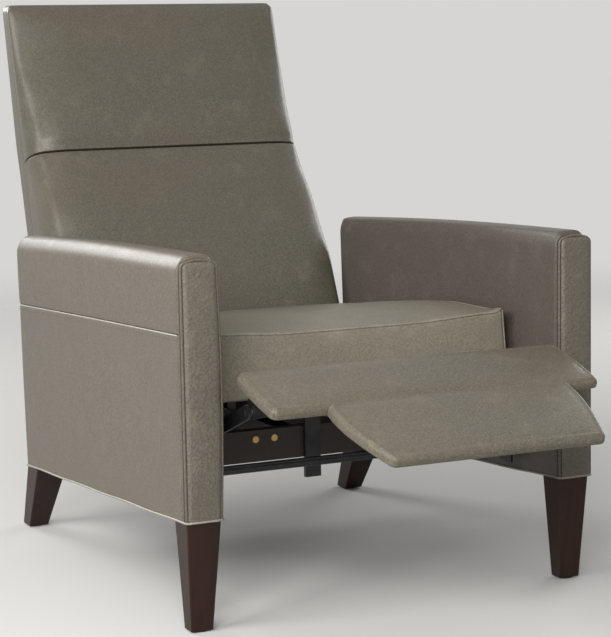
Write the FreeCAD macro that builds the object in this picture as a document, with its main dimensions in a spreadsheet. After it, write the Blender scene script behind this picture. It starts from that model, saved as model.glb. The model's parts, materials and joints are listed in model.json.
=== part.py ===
import FreeCAD, Part
import math
import os
import re
from types import SimpleNamespace
from FreeCAD import Vector

# Power recliner in millimetres, +Z up, facing -Y, with the footrest out and the back half down.
# Places are written from the arm fronts (y = 0) and the floor (z = 0); origin_setback moves
# every sub-part so that the origin lies under the middle of the chair's outline.
sizes = {
    # whole chair
    "origin_setback": 421.3,
    "arm_gap_half": 319.0,
    "run_gap": 0.3,
    "pin_gap": 0.1,
    "overrun": 5.0,
    # arms
    "arm_thick": 65.0,
    "arm_front_top": 610.0,
    "arm_rear_top": 580.0,
    "arm_front_bottom": 186.0,
    "arm_rear_bottom": 133.0,
    "arm_top_depth": 871.0,
    "arm_foot_depth": 850.0,
    "arm_crown": 9.0,
    "arm_corner": 10.0,
    "arm_panel_thick": 12.0,
    "arm_wall": 20.0,
    "arm_frame_front": 34.0,
    "arm_frame_rear": 30.0,
    "arm_frame_under": 24.0,
    "arm_frame_over": 40.0,
    # legs
    "leg_inset": 4.0,
    "leg_top_width": 60.0,
    "foot_inset": 13.0,
    "foot_width": 39.0,
    "leg_nick": 2.0,
    "front_leg_front": 7.0,
    "front_leg_depth": 54.0,
    "front_foot_front": 22.0,
    "front_foot_depth": 31.0,
    "rear_leg_front": 784.0,
    "rear_leg_depth": 64.0,
    "rear_foot_front": 878.0,
    "rear_foot_depth": 42.0,
    "glide_radius": 13.0,
    "glide_thick": 3.0,
    "leg_bolt_radius": 4.0,
    "leg_bolt_down": 26.0,
    "leg_bolt_up": 17.0,
    # cross rails
    "rail_thick": 22.0,
    "front_rail_front": 250.0,
    "front_rail_bottom": 222.0,
    "front_rail_top": 278.0,
    "rear_rail_front": 806.0,
    "rear_rail_bottom": 150.0,
    "rear_rail_top": 250.0,
    "screw_head_radius": 6.0,
    "screw_head_thick": 2.5,
    "screw_radius": 2.5,
    "screw_length": 18.0,
    "screw_height": 262.0,
    "screw_inner": 115.0,
    "screw_spacing": 36.0,
    # fixed runners on the arms
    "runner_front": 95.0,
    "runner_rear": 790.0,
    "runner_bottom": 290.0,
    "runner_top": 340.0,
    "runner_inner": 303.0,
    "runner_sheet": 3.0,
    "bolt_radius": 4.0,
    "bolt_head_radius": 8.0,
    "bolt_head_thick": 4.0,
    "bolt_length": 18.0,
    "bolt_front": 150.0,
    "bolt_spacing": 270.0,
    # seat carriage
    "side_plate_inner": 296.0,
    "plate_thick": 4.0,
    "side_plate_front": 202.0,
    "side_plate_bottom": 300.0,
    "side_plate_top": 348.0,
    "side_flange_width": 34.0,
    "slide_front": 245.0,
    "slide_length": 500.0,
    "back_lobe_reach": 18.0,
    "back_lobe_drop": 32.0,
    "cross_tube_front": 505.0,
    "cross_tube_width": 30.0,
    "cross_tube_bottom": 308.0,
    "cross_tube_wall": 3.0,
    # seat
    "seat_half": 297.0,
    "seat_front": 150.0,
    "seat_rear": 764.0,
    "seat_lip_thick": 26.0,
    "seat_lip_bottom": 350.0,
    "seat_edge_front": 467.0,
    "seat_edge_mid": 460.0,
    "seat_edge_rear": 418.0,
    "seat_mid": 330.0,
    "seat_crown": 11.0,
    "seat_corner": 14.0,
    "seat_draw": 3.0,
    "seat_frame_half": 295.7,
    "seat_board": 24.0,
    "seat_frame_top": 402.0,
    "seat_frame_front": 178.0,
    "seat_front_board": 268.0,
    "seat_frame_rear": 760.0,
    "strap_width": 50.0,
    "strap_thick": 1.8,
    # back
    "back_hinge_depth": 800.0,
    "back_hinge_height": 370.0,
    "back_half": 293.0,
    "back_corner": 20.0,
    "back_draw": 3.0,
    "back_crown": 12.0,
    "seam_crown": 5.0,
    "seam_height": 742.0,
    "top_height": 1037.0,
    "shell_foot_height": 330.0,
    "shell_foot_depth": 971.0,
    "shell_seam_depth": 1123.0,
    "shell_top_depth": 1185.0,
    "shell_thick": 11.7,
    "shell_side": 7.7,
    "core_foot_thick": 55.0,
    "core_seam_thick": 57.0,
    "core_top_thick": 39.0,
    "cushion_rise": 15.0,
    "cushion_foot_thick": 157.0,
    "cushion_lumbar_thick": 124.0,
    "cushion_seam_thick": 78.0,
    "head_thick": 49.0,
    "crest_thick": 25.0,
    "crest_drop": 19.0,
    "top_thick": 16.0,
    "back_board_half": 285.0,
    "back_bracket_inner": 285.3,
    "back_bracket_rear": 948.0,
    "back_bracket_bottom": 334.0,
    "back_bracket_reach": 13.0,
    # pivots
    "pin_radius": 6.0,
    "pin_head_radius": 9.0,
    "pin_head_thick": 2.0,
    "collar_radius": 10.0,
    # footrest links
    "link_root_depth": 220.0,
    "link_root_height": 326.0,
    "link_length": 120.0,
    "link_axis_angle": 171.0,
    "link_half_angle": 12.0,
    "link_radius": 12.0,
    "guide_arm_length": 115.0,
    "guide_arm_angle": 232.5,
    "guide_pin_radius": 5.0,
    "link_tube_radius": 8.0,
    "guide_front": 130.0,
    "guide_width": 40.0,
    "guide_bottom": 196.0,
    "guide_top": 284.0,
    "link_slot_middle": 150.0,
    "guide_slot_half": 7.8,
    "guide_slot_bottom": 205.0,
    "guide_slot_top": 241.0,
    "guide_foot_bottom": 250.0,
    "link_thick": 6.0,
    "first_link_inner": 285.0,
    "second_link_inner": 276.0,
    "bracket_inner": 268.0,
    # footrest panel
    "panel_rear": -13.3,
    "panel_height": 431.5,
    "panel_angle": 195.7,
    "panel_half": 298.0,
    "panel_length": 150.0,
    "pad_thick": 22.0,
    "pad_roll": 11.0,
    "pad_crown": 4.0,
    "board_thick": 9.0,
    "board_inset": 9.0,
    "board_side_inset": 23.0,
    "board_corner_inset": 60.0,
    "board_corner_width": 95.0,
    "bracket_length": 80.0,
    "bracket_lip": 10.0,
    "bracket_radius": 13.0,
    # tongue
    "tongue_angle": 199.3,
    "tongue_rear_half": 214.0,
    "tongue_front_half": 184.0,
    "tongue_length": 178.0,
    "tongue_board_front": 28.0,
    "tongue_board_corner": 30.0,
    "tongue_pad_thick": 18.0,
    "tongue_pivot_along": 155.0,
    "tongue_pivot_down": 36.0,
    "tongue_pivot_behind": 9.8,
    "tongue_pivot_drop": 44.8,
    "hinge_half": 176.0,
    "hinge_leaf": 34.0,
    "hinge_sheet": 1.6,
    "hinge_pin_radius": 2.5,
    "hinge_knuckle_radius": 4.5,
    # seat drive, fixed to the rails
    "drive_side": -62.0,
    "drive_height": 252.0,
    "track_half": 20.0,
    "track_bottom": 238.0,
    "track_wall": 2.5,
    "track_depth": 28.0,
    "track_rear": 640.0,
    "screw_rod_radius": 6.0,
    "gearbox_length": 60.0,
    "gearbox_half": 30.0,
    "gearbox_height": 50.0,
    "motor_radius": 22.0,
    "motor_length": 94.0,
    "motor_cap": 6.0,
    "nut_length": 40.0,
    "nut_half": 16.0,
    "nut_depth": 505.0,
    "upright_width": 30.0,
    "upright_thick": 8.0,
    "upright_bottom": 186.0,
    "upright_top": 296.0,
    "upright_side": -43.0,
    # back drive, on the carriage
    "recline_side": 62.0,
    "recline_height": 296.0,
    "clevis_depth": 552.0,
    "clevis_ear": 6.0,
    "clevis_gap_half": 8.0,
    "clevis_reach": 12.0,
    "crank_depth": 801.3,
    "crank_hole_gap": 3.0,
    "crank_ear": 5.0,
    "crank_reach": 14.0,
    "eye_radius": 16.0,
    "eye_half": 7.4,
    "recline_tube_radius": 15.0,
    "recline_tube_length": 130.0,
    "recline_rod_radius": 7.0,
    "recline_rod_inside": 70.0,
    "recline_box_front": 568.0,
    "recline_box_length": 42.0,
    "recline_box_half": 22.0,
    "recline_box_height": 60.0,
    "recline_motor_radius": 20.0,
    "recline_motor_length": 115.0,
    "recline_motor_drop": 46.0,
    # switch, control box and inlet
    "switch_front": 215.0,
    "switch_length": 96.0,
    "switch_bottom": 500.0,
    "switch_width": 36.0,
    "switch_thick": 7.7,
    "switch_floor": 1.2,
    "rocker_length": 36.0,
    "rocker_width": 22.0,
    "rocker_height": 7.5,
    "rocker_rise": 2.2,
    "rocker_gap": 0.5,
    "rocker_dish": 1.8,
    "rocker_pin_radius": 1.5,
    "rocker_pin_reach": 2.0,
    "control_side": 120.0,
    "control_width": 100.0,
    "control_depth": 34.0,
    "control_height": 52.0,
    "control_bottom": 168.0,
    "inlet_radius": 7.0,
    "inlet_bore": 3.5,
    "inlet_length": 12.0,
    "inlet_depth": 10.0,
}

# shares: where stations lie between two named ends, chosen by hand
roll_shares = (0.0, 1 / 3, 2 / 3, 1.0)
strap_shares = (-0.72, -0.24, 0.24, 0.72)
cross_strap_shares = (0.14, 0.38, 0.62, 0.86)
lumbar_share = 0.53
head_share = 0.485
knuckle_shares = (0.0, 0.2, 0.4, 0.6, 0.8, 1.0)
arc_half = math.sqrt(0.5)

doc = FreeCAD.newDocument("power_recliner")
sheet = doc.addObject("Spreadsheet::Sheet", "Sizes")
for row, (alias, number) in enumerate(sizes.items(), start=1):
    sheet.set(f"A{row}", alias)
    sheet.set(f"B{row}", str(number))
    sheet.setAlias(f"B{row}", alias)
doc.recompute()
z = SimpleNamespace(**{alias: sheet.get(alias) for alias in sizes})
nodes = []


def cells(text):
    """Writes a sum of alias names as an expression on the sheet."""
    return re.sub(r"[a-z][a-z_]+", lambda word: "Sizes." + word.group(), text)


def bind(thing, **sums):
    for name, text in sums.items():
        path = {"x": "Placement.Base.x", "y": "Placement.Base.y", "z": "Placement.Base.z"}
        thing.setExpression(path.get(name, name), cells(text))
    return thing


def keep(thing, label):
    """Names a finished sub-part; its y is moved back by the origin's setback."""
    thing.Label = label
    nodes.append(thing)
    return thing


def set_back(thing, label):
    bind(thing, y="-origin_setback")
    return keep(thing, label)


def block(name, x, y, height, length, depth, rise):
    """A box from its low corner and its three lengths, all written as sums of sizes."""
    box = doc.addObject("Part::Box", name)
    bind(box, x=x, y=y, z=height, Length=length, Width=depth, Height=rise)
    return box


def rod(name, axis, x, y, height, radius, length):
    """A cylinder from the centre of its first end, along axis."""
    cylinder = doc.addObject("Part::Cylinder", name)
    cylinder.Placement.Rotation = FreeCAD.Rotation(Vector(0, 0, 1), axis)
    bind(cylinder, x=x, y=y, z=height, Radius=radius, Height=length)
    return cylinder


def fuse(name, *things):
    joined = doc.addObject("Part::MultiFuse", name)
    joined.Shapes = list(things)
    return joined


def cut(name, base, *tools):
    holed = doc.addObject("Part::Cut", name)
    holed.Base = base
    holed.Tool = tools[0] if len(tools) == 1 else fuse(name + "_tools", *tools)
    return holed


def group(name, things):
    bunch = doc.addObject("Part::Compound", name)
    bunch.Links = list(things)
    return bunch


def feature(name, shape):
    thing = doc.addObject("Part::Feature", name)
    thing.Shape = shape
    return thing


def outline(sketch, points):
    """Straight edges through points, and an arc wherever a point is a pair (through, end)."""
    last = points[0]
    for point in points[1:] + points[:1]:
        if isinstance(point[0], tuple):
            through, end = point
            arc = Part.Arc(Vector(*last, 0), Vector(*through, 0), Vector(*end, 0))
            sketch.addGeometry(arc, False)
            last = end
        else:
            sketch.addGeometry(Part.LineSegment(Vector(*last, 0), Vector(*point, 0)), False)
            last = point


def ring(sketch, centre, radius):
    sketch.addGeometry(Part.Circle(Vector(*centre, 0), Vector(0, 0, 1), radius), False)


def plane_sketch(body, name, role):
    sketch = body.newObject("Sketcher::SketchObject", name)
    origin = body.Origin.OriginFeatures
    sketch.AttachmentSupport = [(next(o for o in origin if o.Role == role), "")]
    sketch.MapMode = "FlatFace"
    return sketch


def plate(name, points, holes, inner, thick, side=0):
    """A sheet cut to a side outline (y, z) and padded across; side 0 is centred on x = 0."""
    body = doc.addObject("PartDesign::Body", name)
    sketch = plane_sketch(body, name + "_sketch", "YZ_Plane")
    outline(sketch, points)
    for centre, radius in holes:
        ring(sketch, centre, radius)
    pad = body.newObject("PartDesign::Pad", name + "_pad")
    pad.Profile = sketch
    pad.Midplane = side == 0
    bind(pad, Length=thick)
    if side:
        bind(body, x=inner if side > 0 else f"-({inner}) - ({thick})")
    return body


def polar(centre, angle, reach):
    turn = math.radians(angle)
    return (centre[0] + reach * math.cos(turn), centre[1] + reach * math.sin(turn))


def bar_points(start, end, radius):
    """A bar with round ends from start to end."""
    along = math.degrees(math.atan2(end[1] - start[1], end[0] - start[0]))
    first = polar(start, along + 90, radius)
    second = polar(start, along - 90, radius)
    third = polar(end, along - 90, radius)
    fourth = polar(end, along + 90, radius)
    near = polar(start, along + 180, radius)
    far = polar(end, along, radius)
    return [first, (near, second), third, (far, fourth)]


def soft_section(face, base, half, crown, corner):
    """A cushion's cross-section: face and base are (y, z) on its show side and its back."""
    depth = math.hypot(base[0] - face[0], base[1] - face[1])
    way = ((base[0] - face[0]) / depth, (base[1] - face[1]) / depth)

    def at(x, d):
        return Vector(x, face[0] + way[0] * d, face[1] + way[1] * d)

    off = corner * (1 - arc_half)
    ends = (at(corner - half, 0), at(half - corner, 0))
    edges = [
        Part.Arc(at(-half, corner), at(off - half, off), at(corner - half, 0)),
        Part.Arc(ends[0], at(0, -crown), ends[1]),
        Part.Arc(at(half - corner, 0), at(half - off, off), at(half, corner)),
        Part.LineSegment(at(half, corner), at(half, depth)),
        Part.LineSegment(at(half, depth), at(-half, depth)),
        Part.LineSegment(at(-half, depth), at(-half, corner)),
    ]
    return Part.Wire([edge.toShape() for edge in edges])


def soft(sections):
    return Part.makeLoft(sections, True, True)


def quad(half_inner, half_outer, front, rear):
    """A level or sloping rectangle: front and rear are (y, z)."""
    corners = [
        Vector(half_inner, *front),
        Vector(half_outer, *front),
        Vector(half_outer, *rear),
        Vector(half_inner, *rear),
    ]
    return Part.makePolygon(corners + corners[:1])


def nicked_quad(near, far, front, rear, nick):
    """The same rectangle with its four corners cut off by nick; near and far are its x limits."""
    step = math.copysign(nick, far - near)
    depth = math.hypot(rear[0] - front[0], rear[1] - front[1])
    way = (nick * (rear[0] - front[0]) / depth, nick * (rear[1] - front[1]) / depth)
    first = (front[0] + way[0], front[1] + way[1])
    last = (rear[0] - way[0], rear[1] - way[1])
    corners = [
        Vector(near + step, *front),
        Vector(far - step, *front),
        Vector(far, *first),
        Vector(far, *last),
        Vector(far - step, *rear),
        Vector(near + step, *rear),
        Vector(near, *last),
        Vector(near, *first),
    ]
    return Part.makePolygon(corners + corners[:1])


def arm_bottom(depth):
    fall = (z.arm_front_bottom - z.arm_rear_bottom) / z.arm_foot_depth
    return z.arm_front_bottom - fall * depth


def arm_top(depth):
    fall = (z.arm_front_top - z.arm_rear_top) / z.arm_top_depth
    return z.arm_front_top - fall * depth


def arm_section(front, rear_share):
    """The arm's upright section; its front is plumb and its back follows the raked back edge."""
    foot = front + rear_share * (z.arm_foot_depth - front)
    head = front + rear_share * (z.arm_top_depth - front)
    face = (head, arm_top(head) - z.arm_crown)
    base = (foot, arm_bottom(foot))
    return soft_section(face, base, z.arm_thick / 2, z.arm_crown, z.arm_corner)


def side_name(side):
    return "left" if side < 0 else "right"


def bolt_depths():
    return [z.bolt_front + z.bolt_spacing * place for place in range(3)]


def leg_places():
    """Each leg's bolt centre (y) from its top."""
    front = z.front_leg_front + z.front_leg_depth / 2
    rear = z.rear_leg_front + z.rear_leg_depth / 2
    return front, rear


def leg_centre():
    return z.arm_gap_half + z.arm_thick - z.leg_inset - z.leg_top_width / 2


def arm(side):
    name = side_name(side)
    middle = side * (z.arm_gap_half + z.arm_thick / 2)
    shift = Vector(middle, 0, 0)
    cover = soft([arm_section(z.arm_panel_thick, 0), arm_section(z.arm_panel_thick, 1)])
    cover.translate(shift)
    inset = z.arm_wall
    front = z.arm_frame_front
    rear_top = z.arm_top_depth - z.arm_frame_rear
    rear_foot = z.arm_foot_depth - z.arm_frame_rear
    board = [
        (front, arm_bottom(front) + z.arm_frame_under),
        (front, arm_top(front) - z.arm_frame_over),
        (rear_top, arm_top(rear_top) - z.arm_frame_over),
        (rear_foot, arm_bottom(rear_foot) + z.arm_frame_under),
    ]
    inner = z.arm_gap_half + inset
    width = z.arm_thick - 2 * inset
    low = inner if side > 0 else -inner - width
    points = [Vector(low, *point) for point in board]
    cavity = Part.Face(Part.makePolygon(points + points[:1])).extrude(Vector(width, 0, 0))
    cover = cover.cut(cavity)
    for depth in bolt_depths():
        middle_height = (z.runner_bottom + z.runner_top) / 2
        start = Vector(side * z.arm_gap_half, depth, middle_height)
        hole = Part.makeCylinder(z.bolt_radius, z.bolt_length, start, Vector(side, 0, 0))
        cover = cover.cut(hole)
    for depth in leg_places():
        start = Vector(side * leg_centre(), depth, arm_bottom(depth) - z.overrun)
        hole = Part.makeCylinder(z.leg_bolt_radius, z.leg_bolt_up + z.overrun, start)
        cover = cover.cut(hole)
    set_back(feature(f"arm_{name}_skin", cover), f"arm_cover_{name}")
    panel = soft([arm_section(0, 0), arm_section(z.arm_panel_thick, 0)])
    panel.translate(shift)
    set_back(feature(f"arm_{name}_front", panel), f"arm_panel_{name}")
    width_text = "arm_thick - 2 * arm_wall"
    frame = plate(f"arm_frame_{name}_body", board, [], "arm_gap_half + arm_wall", width_text, side)
    set_back(frame, f"arm_frame_{name}")


def leg(side, where, top_front, top_depth, foot_front, foot_depth):
    outer = z.arm_gap_half + z.arm_thick
    head = nicked_quad(
        side * (outer - z.leg_inset - z.leg_top_width),
        side * (outer - z.leg_inset),
        (top_front, arm_bottom(top_front)),
        (top_front + top_depth, arm_bottom(top_front + top_depth)),
        z.leg_nick,
    )
    foot = nicked_quad(
        side * (outer - z.foot_inset - z.foot_width),
        side * (outer - z.foot_inset),
        (foot_front, z.glide_thick),
        (foot_front + foot_depth, z.glide_thick),
        z.leg_nick,
    )
    shape = Part.makeLoft([foot, head], True, True)
    middle = top_front + top_depth / 2
    start = Vector(side * leg_centre(), middle, arm_bottom(middle) - z.leg_bolt_down)
    shape = shape.cut(Part.makeCylinder(z.leg_bolt_radius, z.leg_bolt_down + z.overrun, start))
    name = f"{where}_leg_{side_name(side)}"
    set_back(feature(name + "_shape", shape), name)


def legs():
    bolts = []
    glides = []
    rows = (
        ("front", "front_leg_front", "front_leg_depth", "front_foot_front", "front_foot_depth"),
        ("rear", "rear_leg_front", "rear_leg_depth", "rear_foot_front", "rear_foot_depth"),
    )
    for where, top, top_depth, foot, foot_depth in rows:
        for side in (-1, 1):
            leg(side, where, *(getattr(z, name) for name in (top, top_depth, foot, foot_depth)))
            middle = getattr(z, top) + getattr(z, top_depth) / 2
            fall = z.leg_bolt_down
            start = Vector(side * leg_centre(), middle, arm_bottom(middle) - fall)
            bolts.append(Part.makeCylinder(z.leg_bolt_radius, fall + z.leg_bolt_up, start))
            glides.append(
                rod(
                    f"{where}_glide_{side_name(side)}",
                    Vector(0, 0, 1),
                    f"{side} * (arm_gap_half + arm_thick - foot_inset - foot_width / 2)",
                    f"{foot} + {foot_depth} / 2",
                    "0",
                    "glide_radius",
                    "glide_thick",
                )
            )
    set_back(feature("leg_bolt_shapes", Part.makeCompound(bolts)), "leg_bolts")
    set_back(group("glide_group", glides), "leg_glides")


def rails():
    ends = [
        (-z.arm_gap_half, z.front_rail_bottom),
        (-z.arm_gap_half, z.front_rail_top),
        (z.arm_gap_half, z.front_rail_top),
        (z.arm_gap_half, z.front_rail_bottom),
    ]
    body = doc.addObject("PartDesign::Body", "front_rail_body")
    sketch = plane_sketch(body, "front_rail_sketch", "XZ_Plane")
    outline(sketch, ends)
    for side in (-1, 1):
        for place in range(2):
            across = side * (z.screw_inner + place * z.screw_spacing)
            ring(sketch, (across, z.screw_height), z.screw_radius)
    pad = body.newObject("PartDesign::Pad", "front_rail_pad")
    pad.Profile = sketch
    bind(pad, Length="rail_thick")
    bind(body, y="front_rail_front + rail_thick - origin_setback")
    keep(body, "front_rail")
    screws = []
    for side in (-1, 1):
        for place in range(2):
            across = f"{side} * (screw_inner + {place} * screw_spacing)"
            name = f"rail_screw_{side_name(side)}_{place}"
            shank = rod(name + "_shank", Vector(0, 1, 0), across, "front_rail_front", "screw_height",
                        "screw_radius", "screw_length")
            head = rod(name + "_head", Vector(0, 1, 0), across, "front_rail_front - screw_head_thick",
                       "screw_height", "screw_head_radius", "screw_head_thick")
            screws.append(fuse(name, shank, head))
    set_back(group("rail_screw_group", screws), "rail_screws")
    rear = block("rear_rail_block", "-arm_gap_half", "rear_rail_front - origin_setback",
                 "rear_rail_bottom", "2 * arm_gap_half", "rail_thick",
                 "rear_rail_top - rear_rail_bottom")
    keep(rear, "rear_rail")


def runners():
    bolts = []
    for side in (-1, 1):
        name = side_name(side)
        web_x = "arm_gap_half - runner_sheet" if side > 0 else "-arm_gap_half"
        lip_x = "runner_inner" if side > 0 else "-arm_gap_half"
        length = "runner_rear - runner_front"
        web = block(f"runner_{name}_web", web_x, "runner_front", "runner_bottom",
                    "runner_sheet", length, "runner_top - runner_bottom")
        low = block(f"runner_{name}_low", lip_x, "runner_front", "runner_bottom",
                    "arm_gap_half - runner_inner", length, "runner_sheet")
        high = block(f"runner_{name}_high", lip_x, "runner_front", "runner_top - runner_sheet",
                     "arm_gap_half - runner_inner", length, "runner_sheet")
        channel = fuse(f"runner_{name}_channel", web, low, high)
        holes = []
        for place in range(3):
            depth = f"bolt_front + {place} * bolt_spacing"
            height = "(runner_bottom + runner_top) / 2"
            inner = f"{side} * (arm_gap_half - runner_sheet)"
            head_x = f"{side} * (arm_gap_half - runner_sheet - bolt_head_thick)"
            axis = Vector(side, 0, 0)
            holes.append(rod(f"runner_{name}_hole_{place}", axis, inner, depth, height,
                             "bolt_radius", "runner_sheet"))
            shank = rod(f"runner_{name}_shank_{place}", axis, inner, depth, height,
                        "bolt_radius", "runner_sheet + bolt_length")
            head = rod(f"runner_{name}_head_{place}", axis, head_x, depth, height,
                       "bolt_head_radius", "bolt_head_thick")
            bolts.append(fuse(f"runner_{name}_bolt_{place}", shank, head))
        set_back(cut(f"runner_{name}_cut", channel, *holes), f"runner_{name}")
    set_back(group("runner_bolt_group", bolts), "runner_bolts")


link_root = (z.link_root_depth, z.link_root_height)
link_knee = polar(link_root, z.link_axis_angle + z.link_half_angle, z.link_length)
guide_pin = polar(link_root, z.guide_arm_angle, z.guide_arm_length)
link_end = polar(link_knee, z.link_axis_angle - z.link_half_angle, z.link_length)
back_pivot = (z.back_hinge_depth, z.back_hinge_height)
crank_pin = (z.crank_depth, z.recline_height)
pad_foot_depth = z.shell_foot_depth - z.core_foot_thick
pad_seam_depth = z.shell_seam_depth - z.core_seam_thick
pad_top_depth = z.shell_top_depth - z.core_top_thick
back_foot_height = z.back_hinge_height + z.back_bracket_reach + z.cushion_rise


def panel_at(along, down):
    """A place on the footrest panel: along its top from the rear edge, and down from its top."""
    return polar(polar((z.panel_rear, z.panel_height), z.panel_angle, along), z.panel_angle + 90, down)


tongue_pivot = panel_at(z.tongue_pivot_along, z.tongue_pivot_down)


def tongue_at(along, down):
    """A place on the tongue: along its top from the rear edge, and down from its top."""
    start = polar(tongue_pivot, z.tongue_angle, along + z.tongue_pivot_behind)
    return polar(start, z.tongue_angle + 90, down - z.tongue_pivot_drop)


def carriage():
    top = z.side_plate_top
    reach = z.back_lobe_reach
    lobe_top = z.back_hinge_height + z.back_bracket_reach + z.pin_gap
    points = [
        (z.side_plate_front, z.side_plate_bottom),
        (z.side_plate_front, top),
        (z.seat_frame_rear, top),
        (z.back_hinge_depth - reach, lobe_top),
        (z.back_hinge_depth + reach, lobe_top),
        (z.back_hinge_depth + reach, z.back_hinge_height - z.back_lobe_drop),
        (z.seat_frame_rear, z.side_plate_bottom),
    ]
    holes = [(link_root, z.pin_radius), (back_pivot, z.pin_radius)]
    for side in (-1, 1):
        name = side_name(side)
        web = plate(f"side_plate_{name}_body", points, holes, "side_plate_inner", "plate_thick", side)
        inner = "side_plate_inner + plate_thick - side_flange_width"
        flange_x = inner if side > 0 else "-side_plate_inner - plate_thick"
        flange = block(f"side_plate_{name}_flange", flange_x, "slide_front", "side_plate_top",
                       "side_flange_width", "slide_length", "plate_thick")
        slide_x = "side_plate_inner + plate_thick" if side > 0 else "-arm_gap_half + bolt_room"
        slide_wide = "arm_gap_half - runner_sheet - bolt_head_thick - side_plate_inner - plate_thick"
        slide_x = slide_x.replace("bolt_room", "runner_sheet + bolt_head_thick + run_gap")
        slide = block(f"side_plate_{name}_slide", slide_x, "slide_front",
                      "runner_bottom + runner_sheet + run_gap", slide_wide + " - run_gap",
                      "slide_length", "runner_top - runner_bottom - 2 * runner_sheet - 2 * run_gap")
        set_back(fuse(f"side_plate_{name}_fuse", web, flange, slide), f"side_plate_{name}")
    outer = block("cross_tube_outer", "-side_plate_inner", "cross_tube_front", "cross_tube_bottom",
                  "2 * side_plate_inner", "cross_tube_width", "cross_tube_width")
    bore = block("cross_tube_bore", "-side_plate_inner - overrun", "cross_tube_front + cross_tube_wall",
                 "cross_tube_bottom + cross_tube_wall", "2 * side_plate_inner + 2 * overrun",
                 "cross_tube_width - 2 * cross_tube_wall", "cross_tube_width - 2 * cross_tube_wall")
    tube = cut("cross_tube_cut", outer, bore)
    ears = []
    bottom = z.recline_height - z.clevis_reach
    rear = z.cross_tube_front + z.cross_tube_width
    ear = [
        (rear, bottom),
        (rear, z.cross_tube_bottom + z.cross_tube_width),
        (z.clevis_depth, z.recline_height + z.clevis_reach),
        (polar((z.clevis_depth, z.recline_height), 0, z.clevis_reach),
         (z.clevis_depth, z.recline_height - z.clevis_reach)),
    ]
    hole = [((z.clevis_depth, z.recline_height), z.pin_radius)]
    for place, inner in enumerate(("recline_side - clevis_gap_half - clevis_ear",
                                   "recline_side + clevis_gap_half")):
        ears.append(plate(f"clevis_ear_{place}", ear, hole, inner, "clevis_ear", 1))
    pin = rod("clevis_pin", Vector(1, 0, 0), "recline_side - clevis_gap_half - clevis_ear",
              "clevis_depth", "recline_height", "pin_radius", "2 * clevis_gap_half + 2 * clevis_ear")
    set_back(fuse("cross_tube_fuse", tube, *ears, pin), "carriage_cross_tube")


def carriage_pins():
    """The fixed pins of the back hinge and of the footrest links, one pair on each side."""
    made = []
    rows = (
        ("back_pin", "back_hinge_depth", "back_hinge_height", "back_bracket_inner", "plate_thick"),
        ("link_pin", "link_root_depth", "link_root_height", "first_link_inner", "link_thick"),
    )
    for label, depth, height, inner, thick in rows:
        for side in (-1, 1):
            axis = Vector(side, 0, 0)
            name = f"{label}_{side_name(side)}"
            head_x = f"{side} * ({inner} - run_gap - pin_head_thick)"
            shank = rod(name + "_shank", axis, head_x, depth, height, "pin_radius",
                        f"side_plate_inner + plate_thick - {inner} + run_gap + pin_head_thick")
            head = rod(name + "_head", axis, head_x, depth, height, "pin_head_radius", "pin_head_thick")
            collar = rod(name + "_collar", axis, f"{side} * ({inner} + {thick} + run_gap)", depth, height,
                         "collar_radius", f"side_plate_inner - {inner} - {thick} - run_gap")
            made.append(fuse(name, shank, head, collar))
    set_back(group("carriage_pin_group", made), "carriage_pins")


def seat():
    half = "seat_frame_half"
    boards = []
    for side in (-1, 1):
        x = f"{half} - seat_board" if side > 0 else f"-{half}"
        boards.append(block(f"seat_side_{side_name(side)}", x, "seat_frame_front",
                            "side_plate_top + plate_thick", "seat_board",
                            "seat_frame_rear - seat_frame_front",
                            "seat_frame_top - side_plate_top - plate_thick"))
    for name, y in (("front", "seat_front_board"), ("rear", "seat_frame_rear - seat_board")):
        boards.append(block(f"seat_cross_{name}", f"-{half}", y, "side_plate_top + plate_thick",
                            f"2 * {half}", "seat_board",
                            "seat_frame_top - side_plate_top - plate_thick"))
    set_back(fuse("seat_frame_fuse", *boards), "seat_frame")
    straps = []
    for place, share in enumerate(strap_shares):
        straps.append(block(f"strap_{place}", f"{share} * seat_frame_half - strap_width / 2",
                            "seat_front_board", "seat_frame_top", "strap_width",
                            "seat_frame_rear - seat_front_board", "strap_thick"))
    for place, share in enumerate(cross_strap_shares):
        span = f"{share} * (seat_frame_rear - seat_front_board)"
        straps.append(block(f"cross_strap_{place}", "-seat_frame_half",
                            f"seat_front_board + {span} - strap_width / 2",
                            "seat_frame_top + strap_thick", "2 * seat_frame_half", "strap_width",
                            "strap_thick"))
    set_back(fuse("webbing_fuse", *straps), "seat_webbing")
    floor = z.seat_frame_top + 2 * z.strap_thick + z.run_gap
    stations = (
        (z.seat_front, z.seat_edge_front, 0, z.seat_crown / 2, z.seat_corner),
        (z.seat_front + z.seat_corner, z.seat_edge_front + z.run_gap, 0, z.seat_crown, z.seat_corner),
        (z.seat_mid, z.seat_edge_mid, z.seat_draw, z.seat_crown, z.seat_corner),
        (z.seat_rear, z.seat_edge_rear, 0, z.seat_crown / 4, z.seat_corner / 2),
    )
    sections = [
        soft_section((y, top), (y, floor), z.seat_half - draw, crown, corner)
        for y, top, draw, crown, corner in stations
    ]
    lip_front = quad(-z.seat_half, z.seat_half, (z.seat_front, z.seat_lip_bottom),
                     (z.seat_front + z.seat_lip_thick, z.seat_lip_bottom))
    lip_top = quad(-z.seat_half, z.seat_half, (z.seat_front, floor + z.overrun),
                   (z.seat_front + z.seat_lip_thick, floor + z.overrun))
    slab = feature("seat_slab", soft(sections))
    lip = feature("seat_lip", Part.makeLoft([lip_front, lip_top], True, True))
    set_back(fuse("seat_cushion_fuse", slab, lip), "seat_cushion")


def line_at(height, low, low_height, high, high_height):
    return low + (high - low) * (height - low_height) / (high_height - low_height)


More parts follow.
